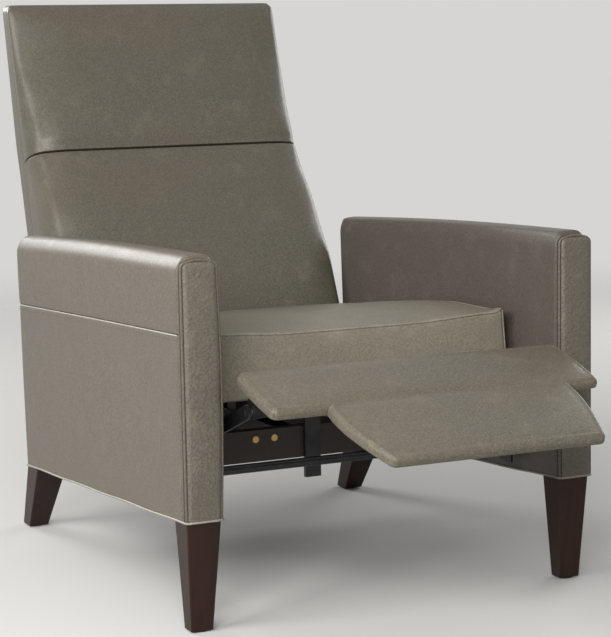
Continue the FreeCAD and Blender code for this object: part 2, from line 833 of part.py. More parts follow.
def shell_depth(height):
    if height < z.seam_height:
        return line_at(height, z.shell_foot_depth, z.shell_foot_height, z.shell_seam_depth, z.seam_height)
    return line_at(height, z.shell_seam_depth, z.seam_height, z.shell_top_depth, z.top_height)


def pad_depth(height):
    if height < z.seam_height:
        return line_at(height, pad_foot_depth, z.shell_foot_height, pad_seam_depth, z.seam_height)
    return line_at(height, pad_seam_depth, z.seam_height, pad_top_depth, z.top_height)


def back_station(thick, height, draw, crown):
    base = (pad_depth(height) - z.run_gap, height)
    return soft_section((pad_depth(height) - thick, height), base, z.back_half - draw, crown, z.back_corner)


def back():
    lumbar = back_foot_height + lumbar_share * (z.seam_height - back_foot_height)
    head = z.seam_height + head_share * (z.top_height - z.seam_height)
    lower = [
        back_station(z.cushion_foot_thick, back_foot_height, 0, z.seam_crown),
        back_station(z.cushion_lumbar_thick, lumbar, z.back_draw, z.back_crown),
        back_station(z.cushion_seam_thick, z.seam_height - z.run_gap, 0, z.seam_crown),
    ]
    set_back(feature("back_cushion_shape", soft(lower)), "back_cushion")
    upper = [
        back_station(z.cushion_seam_thick, z.seam_height + z.run_gap, 0, z.seam_crown),
        back_station(z.head_thick, head, z.back_draw, z.back_crown),
        back_station(z.crest_thick, z.top_height - z.crest_drop, 0, z.back_crown / 2),
    ]
    crest = (pad_depth(z.top_height) - z.run_gap, z.top_height)
    front = (pad_depth(z.top_height) - z.top_thick, z.top_height)
    cap = z.back_corner / 2
    upper.append(soft_section(front, crest, z.back_half - cap, z.run_gap, cap))
    set_back(feature("headrest_shape", soft(upper)), "headrest")

    foot = z.shell_foot_height
    seam = z.seam_height
    top = z.top_height
    skin = [
        (pad_foot_depth, foot),
        (pad_seam_depth, seam),
        (pad_top_depth, top),
        (z.shell_top_depth, top),
        (z.shell_seam_depth, seam),
        (z.shell_foot_depth, foot),
    ]
    roof = top - z.shell_thick
    thick = z.shell_thick
    hollow = [
        (pad_foot_depth - z.overrun, foot - z.overrun),
        (pad_seam_depth - z.overrun, seam),
        (pad_depth(roof) - z.overrun, roof),
        (shell_depth(roof) - thick, roof),
        (z.shell_seam_depth - thick, seam),
        (shell_depth(foot - z.overrun) - thick, foot - z.overrun),
    ]
    side_cut = [
        (pad_foot_depth - z.overrun, foot - z.overrun),
        (pad_depth(back_foot_height) - z.overrun, back_foot_height - z.pin_gap),
        (shell_depth(back_foot_height) - thick, back_foot_height - z.pin_gap),
        (shell_depth(foot - z.overrun) - thick, foot - z.overrun),
    ]
    full = plate("back_shell_full", skin, [], "", "2 * back_half")
    inside = plate("back_shell_inside", hollow, [], "", "2 * back_half - 2 * shell_side")
    under = plate("back_shell_under", side_cut, [], "", "2 * back_half + 2 * overrun")
    set_back(cut("back_shell_cut", full, inside, under), "back_shell")
    gap = z.run_gap
    board = [
        (pad_foot_depth, foot),
        (pad_seam_depth, seam),
        (pad_depth(roof - gap), roof - gap),
        (shell_depth(roof - gap) - thick - gap, roof - gap),
        (z.shell_seam_depth - thick - gap, seam),
        (z.shell_foot_depth - thick - gap, foot),
    ]
    set_back(plate("back_board_body", board, [], "", "2 * back_board_half"), "back_board")

    reach = z.back_bracket_reach
    hinge = z.back_hinge_depth
    bracket = [
        (hinge, z.back_hinge_height + reach),
        (polar(back_pivot, 180, reach), (hinge, z.back_hinge_height - reach)),
        (pad_foot_depth, z.back_bracket_bottom),
        (z.back_bracket_rear, z.back_bracket_bottom),
        (z.back_bracket_rear, z.back_hinge_height + reach),
    ]
    hole = [(back_pivot, z.pin_radius + z.pin_gap)]
    for side in (-1, 1):
        name = side_name(side)
        body = plate(f"back_bracket_{name}_body", bracket, hole, "back_bracket_inner", "plate_thick", side)
        set_back(body, f"back_bracket_{name}")
    crank()


def crank():
    """Two ears under the back board carry the pin that the back drive pushes."""
    reach = z.crank_reach
    depth = z.crank_depth
    height = z.recline_height
    ear = [
        (pad_foot_depth - z.run_gap, z.shell_foot_height),
        (pad_depth(z.back_hinge_height) - z.run_gap, z.back_hinge_height),
        polar((depth, height), 110, reach),
        (polar((depth, height), 180, reach), polar((depth, height), 225, reach)),
    ]
    hole = [(crank_pin, z.pin_radius)]
    ears = []
    inner = "recline_side - eye_half - run_gap - crank_ear"
    for place, start in enumerate((inner, "recline_side + eye_half + run_gap")):
        ears.append(plate(f"crank_ear_{place}", ear, hole, start, "crank_ear", 1))
    pin = rod("crank_pin", Vector(1, 0, 0), inner, "crank_depth", "recline_height", "pin_radius",
              "2 * eye_half + 2 * run_gap + 2 * crank_ear")
    foot = block("crank_foot", inner, "shell_foot_depth - core_foot_thick - run_gap",
                 "shell_foot_height - plate_thick",
                 "2 * eye_half + 2 * run_gap + 2 * crank_ear", "seat_board", "plate_thick")
    set_back(fuse("back_crank_fuse", *ears, pin, foot), "back_crank")


def first_link_points():
    """A bell crank: one arm to the knee, the other down to the pin in the guide's slot."""
    reach = z.link_radius
    along = z.link_axis_angle + z.link_half_angle
    down = z.guide_arm_angle
    between = (along + down) / 2
    crook = polar(link_root, between, reach / math.sin(math.radians(between - along)))
    round_root = (down + 90 + along + 270) / 2
    return [
        polar(link_knee, along - 90, reach),
        (polar(link_knee, along, reach), polar(link_knee, along + 90, reach)),
        crook,
        polar(guide_pin, down - 90, reach),
        (polar(guide_pin, down, reach), polar(guide_pin, down + 90, reach)),
        polar(link_root, down + 90, reach),
        (polar(link_root, round_root, reach), polar(link_root, along - 90, reach)),
    ]


def footrest_guides():
    """A slotted plate on each arm: the slot turns the bell crank as the seat slides."""
    made = []
    for side in (-1, 1):
        name = f"guide_{side_name(side)}"
        x = "side_plate_inner" if side > 0 else "-side_plate_inner - plate_thick"
        sheet_box = block(name + "_sheet", x, "guide_front", "guide_bottom", "plate_thick",
                          "guide_width", "guide_top - guide_bottom")
        foot_x = "side_plate_inner" if side > 0 else "-arm_gap_half"
        foot = block(name + "_foot", foot_x, "guide_front", "guide_foot_bottom",
                     "arm_gap_half - side_plate_inner", "guide_width", "guide_top - guide_foot_bottom")
        slot = block(name + "_slot", f"{side} * (side_plate_inner + plate_thick / 2) - plate_thick",
                     "link_slot_middle - guide_slot_half", "guide_slot_bottom", "2 * plate_thick",
                     "2 * guide_slot_half", "guide_slot_top - guide_slot_bottom")
        made.append(cut(name, fuse(name + "_fuse", sheet_box, foot), slot))
    set_back(group("guide_group", made), "footrest_guides")


def footrest_links():
    gap = z.pin_radius + z.pin_gap
    rows = (
        ("first_link", link_root, link_knee, "first_link_inner", gap, z.pin_radius),
        ("second_link", link_knee, link_end, "second_link_inner", gap, z.pin_radius),
    )
    for label, start, end, inner, near, far in rows:
        first = label == "first_link"
        points = first_link_points() if first else bar_points(start, end, z.link_radius)
        for side in (-1, 1):
            name = f"{label}_{side_name(side)}"
            body = plate(name + "_body", points, [(start, near), (end, far)], inner, "link_thick", side)
            if first:
                pin = rod(name + "_guide_pin", Vector(side, 0, 0), f"{side} * ({inner})",
                          str(guide_pin[0]), str(guide_pin[1]), "guide_pin_radius",
                          f"side_plate_inner + plate_thick - {inner}")
                body = fuse(name + "_fuse", body, pin)
            set_back(body, name)
    pins = (
        ("first_link_pins", link_knee, "second_link_inner", "first_link_inner"),
        ("second_link_pins", link_end, "bracket_inner", "second_link_inner"),
    )
    for label, centre, held, holder in pins:
        made = []
        for side in (-1, 1):
            shank_start = getattr(z, held) - z.run_gap - z.pin_head_thick
            shank_end = getattr(z, holder) + z.link_thick
            axis = Vector(side, 0, 0)
            start = Vector(side * shank_start, *centre)
            shank = Part.makeCylinder(z.pin_radius, shank_end - shank_start, start, axis)
            head = Part.makeCylinder(z.pin_head_radius, z.pin_head_thick, start, axis)
            collar_start = getattr(z, held) + z.link_thick + z.run_gap
            collar_long = getattr(z, holder) - collar_start
            collar_at = Vector(side * collar_start, *centre)
            collar = Part.makeCylinder(z.collar_radius, collar_long, collar_at, axis)
            made.append(shank.fuse([head, collar]).removeSplitter())
        if label == "first_link_pins":
            tube_start = Vector(-z.first_link_inner, *guide_pin)
            made.append(Part.makeCylinder(z.link_tube_radius, 2 * z.first_link_inner, tube_start,
                                          Vector(1, 0, 0)))
        set_back(feature(label + "_shapes", Part.makeCompound(made)), label)


def pad_shape(place, length, half_rear, half_front, thick):
    """A padded panel with rolled front and rear edges and a slight crown."""
    roll = z.pad_roll
    stations = []
    for share in roll_shares:
        turn = math.radians(90 * share)
        stations.append((roll * (1 - math.sin(turn)), roll * (1 - math.cos(math.pi / 2 - turn))))
    ends = [(along, roll * (1 - math.sqrt(max(0, 1 - (1 - along / roll) ** 2)))) for along, _ in stations]
    ends = sorted(ends)
    rows = ends + [(length / 2, 0)] + [(length - along, down) for along, down in reversed(ends)]
    sections = []
    for along, down in rows:
        share = along / length
        half = half_rear + (half_front - half_rear) * share - down / 2
        crown = z.pad_crown if down == 0 else z.pad_crown / 2
        sections.append(soft_section(place(along, down), place(along, thick), half, crown,
                                     z.pad_roll / 2))
    return soft(sections)


def board_shape(place, points, top):
    """A board under a pad: points give half its outline (half width, along), rear to front."""
    ring_points = [(half, along) for half, along in points]
    ring_points += [(-half, along) for half, along in reversed(points)]
    corners = [Vector(half, *place(along, top)) for half, along in ring_points]
    down = Vector(0, *place(0, top + z.board_thick)) - Vector(0, *place(0, top))
    return Part.Face(Part.makePolygon(corners + corners[:1])).extrude(down)


def leaf_shape(place, points):
    """A hinge leaf bent to a side outline, as long as the hinge."""
    corners = [Vector(-z.hinge_half, *place(along, down)) for along, down in points]
    return Part.Face(Part.makePolygon(corners + corners[:1])).extrude(Vector(2 * z.hinge_half, 0, 0))


def knuckles(odd):
    """Every other sleeve of the tongue hinge; odd ones belong to the tongue."""
    made = []
    for place in range(len(knuckle_shares) - 1):
        if place % 2 != odd:
            continue
        low = -z.hinge_half + 2 * z.hinge_half * knuckle_shares[place] + z.run_gap / 2
        high = -z.hinge_half + 2 * z.hinge_half * knuckle_shares[place + 1] - z.run_gap / 2
        start = Vector(low, *tongue_pivot)
        sleeve = Part.makeCylinder(z.hinge_knuckle_radius, high - low, start, Vector(1, 0, 0))
        made.append((sleeve, low, high))
    return made


def hinge_half_shape(place, odd, points):
    """One leaf with its own sleeves; the other half's sleeves are cleared from the leaf."""
    shape = leaf_shape(place, points)
    for _, low, high in knuckles(1 - odd):
        at = Vector(low - z.run_gap / 2, *tongue_pivot)
        room = Part.makeCylinder(z.hinge_knuckle_radius + z.run_gap, high - low + z.run_gap, at,
                                 Vector(1, 0, 0))
        shape = shape.cut(room)
    shape = shape.fuse([sleeve for sleeve, _, _ in knuckles(odd)])
    start = Vector(-z.hinge_half, *tongue_pivot)
    bore = Part.makeCylinder(z.hinge_pin_radius + z.pin_gap, 2 * z.hinge_half, start, Vector(1, 0, 0))
    return shape.cut(bore).removeSplitter()


def footrest():
    pad = pad_shape(panel_at, z.panel_length, z.panel_half, z.panel_half, z.pad_thick)
    set_back(feature("footrest_pad_shape", pad), "footrest_pad")
    half = z.panel_half - z.board_side_inset
    front = z.panel_length - z.board_inset
    points = (
        (half, z.board_inset),
        (half, front - z.board_corner_inset),
        (half - z.board_corner_width, front),
    )
    board = board_shape(panel_at, points, z.pad_thick)
    set_back(feature("footrest_board_shape", board), "footrest_board")
    under = z.pad_thick + z.board_thick
    reach = z.bracket_radius
    start = panel_at(z.board_inset, under)
    outline_points = [
        start,
        panel_at(z.board_inset + z.bracket_length, under),
        panel_at(z.board_inset + z.bracket_length, under + z.bracket_lip),
        polar(link_end, z.panel_angle + 60, reach),
        (polar(link_end, z.panel_angle + 120, reach), polar(link_end, z.panel_angle + 180, reach)),
    ]
    hole = [(link_end, z.pin_radius + z.pin_gap)]
    for side in (-1, 1):
        name = f"footrest_bracket_{side_name(side)}"
        body = plate(name + "_body", outline_points, hole, "bracket_inner", "link_thick", side)
        set_back(body, name)
    end = z.tongue_pivot_along - z.hinge_pin_radius
    low = z.pad_thick + z.board_thick
    high = low + z.hinge_sheet
    fixed = hinge_half_shape(panel_at, 0, ((end - z.hinge_leaf, low), (end, low), (end, high),
                                           (end - z.hinge_leaf, high)))
    set_back(feature("panel_hinge_shape", fixed), "panel_hinge")


def tongue():
    halves = (z.tongue_rear_half, z.tongue_front_half)
    thick = z.tongue_pad_thick
    pad = pad_shape(tongue_at, z.tongue_length, *halves, thick)
    set_back(feature("tongue_pad_shape", pad), "tongue_pad")
    front = z.tongue_length - z.tongue_board_front
    points = (
        (z.tongue_rear_half - z.board_side_inset, z.board_inset),
        (z.tongue_front_half - z.board_side_inset, front - z.tongue_board_corner),
        (z.tongue_front_half - z.board_side_inset - z.tongue_board_corner, front),
    )
    board = board_shape(tongue_at, points, thick)
    set_back(feature("tongue_board_shape", board), "tongue_board")
    low = thick + z.board_thick
    high = low + z.hinge_sheet
    bend = z.board_inset
    drop = z.tongue_pivot_drop
    behind = -z.tongue_pivot_behind
    side = z.hinge_pin_radius
    swinging = hinge_half_shape(tongue_at, 1, ((bend + z.hinge_leaf, low), (bend, low),
                                               (behind, drop - side), (behind + side, drop),
                                               (bend, high), (bend + z.hinge_leaf, high)))
    set_back(feature("tongue_hinge_shape", swinging), "tongue_hinge")
    start = Vector(-z.hinge_half, *tongue_pivot)
    pin = Part.makeCylinder(z.hinge_pin_radius, 2 * z.hinge_half, start, Vector(1, 0, 0))
    set_back(feature("tongue_pin_shape", pin), "tongue_pin")


def seat_drive():
    side = "drive_side"
    front = "front_rail_front + rail_thick"
    length = "track_rear - front_rail_front - rail_thick"
    floor = block("track_floor", f"{side} - track_half", front, "track_bottom", "2 * track_half",
                  length, "track_wall")
    walls = []
    for place, x in enumerate((f"{side} - track_half", f"{side} + track_half - track_wall")):
        walls.append(block(f"track_wall_{place}", x, front, "track_bottom", "track_wall", length,
                           "track_depth"))
    set_back(fuse("track_fuse", floor, *walls), "drive_track")
    screw = rod("screw_rod", Vector(0, 1, 0), side, front + " - origin_setback", "drive_height",
                "screw_rod_radius", length)
    keep(screw, "drive_screw")
    gearbox = block("gearbox_block", f"{side} - gearbox_half", "track_rear",
                    "drive_height - gearbox_height / 2", "2 * gearbox_half", "gearbox_length",
                    "gearbox_height")
    can = rod("motor_can", Vector(0, 1, 0), side, "track_rear + gearbox_length", "drive_height",
              "motor_radius", "motor_length")
    cap_radius = "motor_radius - motor_cap"
    cap = rod("motor_cap_rod", Vector(0, 1, 0), side, "track_rear + gearbox_length + motor_length",
              "drive_height", cap_radius,
              "rear_rail_front - track_rear - gearbox_length - motor_length")
    cap_room = block("motor_foot", f"{side} - motor_cap", "track_rear + gearbox_length + motor_length",
                     "rear_rail_top - gearbox_height / 2", "2 * motor_cap",
                     "rear_rail_front - track_rear - gearbox_length - motor_length",
                     "gearbox_height / 2")
    set_back(fuse("seat_motor_fuse", gearbox, can, cap, cap_room), "seat_motor")
    block_box = block("nut_block_box", f"{side} - nut_half", "nut_depth",
                      "track_bottom + track_wall + run_gap", "2 * nut_half", "nut_length",
                      "cross_tube_bottom - track_bottom - track_wall - run_gap")
    bore = rod("nut_bore", Vector(0, 1, 0), side, "nut_depth - overrun", "drive_height",
               "screw_rod_radius + run_gap", "nut_length + 2 * overrun")
    set_back(cut("nut_block_cut", block_box, bore), "drive_nut")
    upright = block("upright_block", "upright_side - upright_width / 2",
                    "front_rail_front - upright_thick - origin_setback", "upright_bottom",
                    "upright_width", "upright_thick", "upright_top - upright_bottom")
    keep(upright, "rail_upright")


def recline_drive():
    side = "recline_side"
    axis = Vector(0, 1, 0)
    pivot = plate("recline_tail_body",
                  bar_points((z.clevis_depth, z.recline_height),
                             (z.recline_box_front + z.clevis_reach, z.recline_height), z.clevis_reach),
                  [((z.clevis_depth, z.recline_height), z.pin_radius + z.pin_gap)],
                  "recline_side - clevis_gap_half + run_gap",
                  "2 * clevis_gap_half - 2 * run_gap", 1)
    box = block("recline_box", f"{side} - recline_box_half", "recline_box_front",
                "recline_height + recline_box_half - recline_box_height - run_gap",
                "2 * recline_box_half", "recline_box_length", "recline_box_height")
    tube = rod("recline_tube", axis, side, "recline_box_front + recline_box_length",
               "recline_height", "recline_tube_radius", "recline_tube_length")
    bore = rod("recline_bore", axis, side, "recline_box_front + recline_box_length",
               "recline_height", "recline_rod_radius + pin_gap", "recline_tube_length + overrun")
    motor = rod("recline_motor_can", axis, side, "recline_box_front + recline_box_length",
                "recline_height - recline_motor_drop", "recline_motor_radius",
                "recline_motor_length")
    lug = block("recline_motor_lug", f"{side} - recline_box_half",
                "recline_box_front", "recline_height - recline_motor_drop - recline_motor_radius",
                "2 * recline_box_half", "recline_box_length", "recline_motor_radius")
    housing = cut("recline_motor_cut", fuse("recline_motor_fuse", pivot, box, tube, motor, lug), bore)
    set_back(housing, "recline_motor")
    start = z.recline_box_front + z.recline_box_length + z.recline_tube_length - z.recline_rod_inside
    rod_shape = Part.makeCylinder(z.recline_rod_radius, z.crank_depth - start,
                                  Vector(z.recline_side, start, z.recline_height), axis)
    eye_start = Vector(z.recline_side - z.eye_half, z.crank_depth, z.recline_height)
    eye = Part.makeCylinder(z.eye_radius, 2 * z.eye_half, eye_start, Vector(1, 0, 0))
    hole = Part.makeCylinder(z.pin_radius + z.crank_hole_gap, 2 * z.eye_half, eye_start, Vector(1, 0, 0))
    set_back(feature("recline_rod_shape", rod_shape.fuse(eye).cut(hole).removeSplitter()), "recline_rod")


def rocker_places():
    spare = (z.switch_length - 2 * z.rocker_length) / 3
    first = z.switch_front + spare + z.rocker_length / 2
    return first, first + spare + z.rocker_length


def switch():
    """A plate on the near arm's inner side with two sprung rockers, one for each drive."""
    wall = -z.arm_gap_half
    middle = z.switch_bottom + z.switch_width / 2
    shape = Part.makeBox(z.switch_thick, z.switch_length, z.switch_width,
                         Vector(wall, z.switch_front, z.switch_bottom))
    gap = z.rocker_gap
    pin_half = z.rocker_width / 2 + z.rocker_pin_reach
    pin_x = wall + z.switch_thick - z.rocker_rise
    for place, centre in enumerate(rocker_places()):
        low = Vector(wall + z.switch_floor, centre - z.rocker_length / 2 - gap,
                     middle - z.rocker_width / 2 - gap)
        room = Part.makeBox(z.switch_thick, z.rocker_length + 2 * gap, z.rocker_width + 2 * gap, low)
        shape = shape.cut(room)
        start = Vector(pin_x, centre, middle - pin_half)
        axis = Vector(0, 0, 1)
        long = 2 * pin_half
        seat_hole = Part.makeCylinder(z.rocker_pin_radius + z.pin_gap, long + 2 * z.run_gap,
                                      start - axis * z.run_gap, axis)
        shape = shape.cut(seat_hole)
        high = pin_x + z.rocker_height / 2
        low_x = pin_x - z.rocker_height / 2 + z.rocker_dish
        half = z.rocker_length / 2
        profile = [
            Vector(pin_x - z.rocker_dish, centre - half, middle - z.rocker_width / 2),
            Vector(low_x - z.rocker_dish, centre, middle - z.rocker_width / 2),
            Vector(pin_x - z.rocker_dish, centre + half, middle - z.rocker_width / 2),
            Vector(high, centre + half, middle - z.rocker_width / 2),
            Vector(high - z.rocker_dish, centre, middle - z.rocker_width / 2),
            Vector(high, centre - half, middle - z.rocker_width / 2),
        ]
        key = Part.Face(Part.makePolygon(profile + profile[:1])).extrude(axis * z.rocker_width)
        pin = Part.makeCylinder(z.rocker_pin_radius, long, start, axis)
        name = ("footrest", "recline")[place]
        set_back(feature(f"{name}_rocker_shape", key.fuse(pin).removeSplitter()), f"{name}_rocker")
    set_back(feature("switch_plate_shape", shape), "switch_plate")


def supply():
    box = block("control_block", "control_side", "rear_rail_front - control_depth - origin_setback",
                "control_bottom", "control_width", "control_depth", "control_height")
    keep(box, "control_box")
    x = "control_side + control_width / 2"
    y = "rear_rail_front - control_depth / 2"
    body = rod("inlet_body", Vector(0, 0, 1), x, y, "control_bottom - inlet_length",
               "inlet_radius", "inlet_length")
    bore = rod("inlet_hole", Vector(0, 0, 1), x, y, "control_bottom - inlet_length",
               "inlet_bore", "inlet_depth")
    set_back(cut("inlet_cut", body, bore), "power_inlet")


for hand in (-1, 1):
    arm(hand)
legs()
rails()
runners()
carriage()
carriage_pins()
seat()
back()
footrest_guides()
footrest_links()
footrest()
tongue()
seat_drive()
recline_drive()
switch()
supply()
doc.recompute()

for thing in doc.Objects:
    if "Invalid" in thing.State or "Error" in thing.State:
        raise RuntimeError(f"{thing.Label} failed to build: {thing.State}")
for thing in nodes:
    if thing.Shape.isNull() or not thing.Shape.isValid() or not thing.Shape.Solids:
        raise RuntimeError(f"{thing.Label} has no sound solid")

os.makedirs("parts", exist_ok=True)
whole = FreeCAD.BoundBox()
for thing in nodes:
    thing.Shape.exportStep(f"parts/{thing.Label}.step")
    whole.add(thing.Shape.BoundBox)
print(f"{len(nodes)} sub-parts, box x {whole.XMin:.1f} {whole.XMax:.1f}, y {whole.YMin:.1f} "
      f"{whole.YMax:.1f}, z {whole.ZMin:.1f} {whole.ZMax:.1f}")
print("pivots:", "link root", link_root, "knee", link_knee, "end", link_end, "tongue", tongue_pivot)
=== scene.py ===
import json
import math
import bpy
from mathutils import Matrix, Vector


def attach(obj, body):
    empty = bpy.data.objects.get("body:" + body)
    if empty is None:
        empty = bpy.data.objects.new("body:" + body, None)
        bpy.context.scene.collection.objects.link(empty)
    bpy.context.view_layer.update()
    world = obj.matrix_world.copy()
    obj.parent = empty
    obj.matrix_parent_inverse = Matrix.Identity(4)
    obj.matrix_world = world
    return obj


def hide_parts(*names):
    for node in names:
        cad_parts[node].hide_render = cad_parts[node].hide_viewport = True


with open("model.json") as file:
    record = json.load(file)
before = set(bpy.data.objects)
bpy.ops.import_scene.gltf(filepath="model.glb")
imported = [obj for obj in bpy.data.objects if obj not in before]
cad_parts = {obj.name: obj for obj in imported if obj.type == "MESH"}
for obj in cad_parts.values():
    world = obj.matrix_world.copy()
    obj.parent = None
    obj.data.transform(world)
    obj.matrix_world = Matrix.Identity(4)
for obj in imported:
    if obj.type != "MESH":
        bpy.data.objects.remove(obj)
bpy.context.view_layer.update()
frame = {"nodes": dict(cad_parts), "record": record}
nodes = frame["nodes"]
print("frame loaded:", len(nodes), "nodes")

# Sizes are in millimetres, from the arm fronts (y = 0), the floor (z = 0) and the middle (x = 0).
# A side is -1 on the left and 1 on the right.
setback = 421.3
sideNames = {-1: "left", 1: "right"}


def spot(x, y, z):
    # a place in the room, in metres
    return Vector((x, y - setback, z)) / 1000


def mix(a, b, share):
    return a + (b - a) * share


def spread(a, b, count):
    return [mix(a, b, i / count) for i in range(count + 1)]


def clamp(value):
    return min(max(value, 0.0), 1.0)


def smooth(value):
    value = clamp(value)
    return value * value * (3 - 2 * value)


def ramp(value, start, length):
    # 0 up to the start, 1 from a length further on, smooth between
    return smooth((value - start) / length)


def hump(share, power):
    # 0 at a share of 0 or 1, and 1 halfway
    share = clamp(share)
    return (4 * share * (1 - share)) ** power


def dome(share, order, power=1):
    # 1 in the middle and 0 at a share of -1 or 1: the higher the order, the flatter
    return max(0, 1 - share ** order) ** power


def along(table, value):
    # a table of (place, size) pairs, joined by straight lines
    for (a, first), (b, second) in zip(table, table[1:]):
        if value <= b:
            return mix(first, second, clamp((value - a) / (b - a)))
    return table[-1][1]


def mirrored(places):
    return [-place for place in places] + places


def addObject(name, data):
    made = bpy.data.objects.new(name, data)
    bpy.context.scene.collection.objects.link(made)
    return made


# the camera stands where the photograph was taken from
cameraPlace = {"spot": (-1580.47, -3016.65, 948.58), "yaw": 25.11, "pitch": 7.58, "roll": -1.04,
               "lens": 121.86, "sensor": 36, "clipEnd": 200}


def makeCamera():
    yaw, pitch, roll = (math.radians(cameraPlace[key]) for key in ("yaw", "pitch", "roll"))
    ahead = Vector((math.sin(yaw) * math.cos(pitch), math.cos(yaw) * math.cos(pitch), -math.sin(pitch)))
    right = Vector((math.cos(yaw), -math.sin(yaw), 0))
    up = right.cross(ahead)
    turnedRight = math.cos(roll) * right + math.sin(roll) * up
    turnedUp = math.cos(roll) * up - math.sin(roll) * right
    data = bpy.data.cameras.new("photoCamera")
    data.sensor_fit = "HORIZONTAL"
    data.sensor_width = cameraPlace["sensor"]
    data.lens = cameraPlace["lens"]
    data.clip_end = cameraPlace["clipEnd"]
    camera = addObject("photoCamera", data)
    matrix = Matrix((turnedRight, turnedUp, -ahead)).transposed().to_4x4()
    matrix.translation = spot(*cameraPlace["spot"])
    camera.matrix_world = matrix
    bpy.context.scene.camera = camera


makeCamera()


# shapes

edgeCuts = (0, 11, 22, 33, 45)  # where a rounded edge is cut, in degrees
lineRoom = 0.4                  # how near to a line another cut may come, in steps


def bands(low, high, radii, step, lines):
    # Places from low to high: close together on the rounded ends, with the lines, else a step apart.
    turns = [math.tan(math.radians(angle)) for angle in edgeCuts]
    first, last = radii
    ends = [low + first * (1 - turn) for turn in turns] + [high - last * (1 - turn) for turn in turns]
    inner = high - low - first - last
    count = max(2, round(inner / step))
    flat = [low + first + inner * i / count for i in range(1, count)]
    kept = [place for place in flat if all(abs(place - line) > step * lineRoom for line in lines)]
    return sorted(set(round(place, 4) for place in ends + kept + list(lines)))


def boxedForm(name, size, form, place):
    # A closed form of quads. The size is half its width, its depth and its height, the form's radii are the rounding
    # at the low and high end of x, y and z, and place(x, y, z) puts each point in the room. The points as they are
    # before the rounding come back too.
    lines = form.get("lines", ((), (), ()))
    grids = [bands(*span) for span in zip((-size[0], 0, 0), size, form["radii"], form["steps"], lines)]
    limits = [(grid[0], grid[-1]) for grid in grids]
    found, points, raws, faces = {}, [], [], []

    def rounded(raw):
        core, sizes, far = [], [], []
        for value, (low, high), (first, last) in zip(raw, limits, form["radii"]):
            core.append(min(max(value, low + first), high - last))
            sizes.append(first if value < core[-1] else last)
            far.append((value - core[-1]) / sizes[-1])
        long = math.sqrt(sum(part * part for part in far)) or 1.0
        return [middle + reach * part / long for middle, reach, part in zip(core, sizes, far)]

    def corner(*key):
        if key not in found:
            raw = [grid[i] for grid, i in zip(grids, key)]
            found[key] = len(points)
            points.append(place(*Vector(rounded(raw))))
            raws.append(raw)
        return found[key]

    counts = [len(grid) - 1 for grid in grids]
    for axis in range(3):
        a, b = [other for other in range(3) if other != axis]
        for end in (0, counts[axis]):
            for i in range(counts[a]):
                for j in range(counts[b]):
                    loop = []
                    for di, dj in ((0, 0), (1, 0), (1, 1), (0, 1)):
                        key = [0, 0, 0]
                        key[axis], key[a], key[b] = end, i + di, j + dj
                        loop.append(corner(*key))
                    flip = (end == 0) != (axis == 1)
                    faces.append(loop[::-1] if flip else loop)
    mesh = bpy.data.meshes.new(name)
    mesh.from_pydata(points, [], faces)
    mesh.polygons.foreach_set("use_smooth", [True] * len(mesh.polygons))
    mesh.update()
    return addObject(name, mesh), raws


clothFrames = 16


def inflate(piece, raws, size, form):
    # Blows a cover up by cloth simulation, no point moving further than the form's cap. It is held in rims along
    # its sides, front, rear, bottom and top, as wide as the form says.
    half, deep, high = size
    side, front, rear, bottom, top = form["held"]
    held = [i for i, (x, y, z) in enumerate(raws)
            if abs(x) > half - side or y < front or y > deep - rear or z < bottom or z > high - top]
    piece.vertex_groups.new(name="seams").add(held, 1.0, "REPLACE")
    before = [vertex.co.copy() for vertex in piece.data.vertices]
    cover = piece.modifiers.new("puff", "CLOTH")
    cover.settings.quality = 6
    cover.settings.mass = 0.25
    cover.settings.tension_stiffness = 15
    cover.settings.compression_stiffness = 15
    cover.settings.shear_stiffness = 5
    cover.settings.bending_stiffness = 1.5
    cover.settings.use_pressure = True
    cover.settings.uniform_pressure_force = form["pressure"]
    cover.settings.effector_weights.gravity = 0
    cover.settings.vertex_group_mass = "seams"
    cover.settings.pin_stiffness = 1
    cover.collision_settings.use_collision = False
    cover.point_cache.frame_start = 1
    cover.point_cache.frame_end = clothFrames
    for step in range(1, clothFrames + 1):
        bpy.context.scene.frame_set(step)
    shaped = piece.evaluated_get(bpy.context.evaluated_depsgraph_get()).to_mesh()
    after = [vertex.co.copy() for vertex in shaped.vertices]
    piece.modifiers.remove(cover)
    bpy.context.scene.frame_set(1)
    cap = form["cap"] / 1000
    for vertex, start, end in zip(piece.data.vertices, before, after):
        move = end - start
        if move.length > cap:
            move *= cap / move.length
        vertex.co = start + move
    piece.vertex_groups.clear()
    piece.data.update()
    print("inflated", piece.name)


def dress(piece, finish, body, *replaced, fill=None):
    piece.data.materials.clear()
    piece.data.materials.append(finish)
    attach(piece, body)
    if replaced:
        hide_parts(*replaced)


def makeSoft(name, size, form, place, finish, body, *replaced, fill):
    # a padded piece: shaped, blown up if its form has a pressure, and smoothed
    piece, raws = boxedForm(name, size, form, place)
    if "pressure" in form:
        inflate(piece, raws, size, form)
    smoothness = piece.modifiers.new("smoothness", "SUBSURF")
    smoothness.levels = smoothness.render_levels = 1
    dress(piece, finish, body, *replaced, fill=fill)


def curvePath(name, paths, closed=False):
    # straight runs through the points of each path, in the room
    data = bpy.data.curves.new(name, "CURVE")
    data.dimensions = "3D"
    for points in paths:
        line = data.splines.new("POLY")
        line.points.add(len(points) - 1)
        for target, point in zip(line.points, points):
            target.co = (*point, 1)
        line.use_cyclic_u = closed
    return addObject(name + "Path", data)


def meshFrom(name, path):
    # the mesh that a path's bevel or modifier makes, in place of the path
    mesh = bpy.data.meshes.new_from_object(path.evaluated_get(bpy.context.evaluated_depsgraph_get()))
    bpy.data.objects.remove(path)
    mesh.polygons.foreach_set("use_smooth", [True] * len(mesh.polygons))
    return addObject(name, mesh)


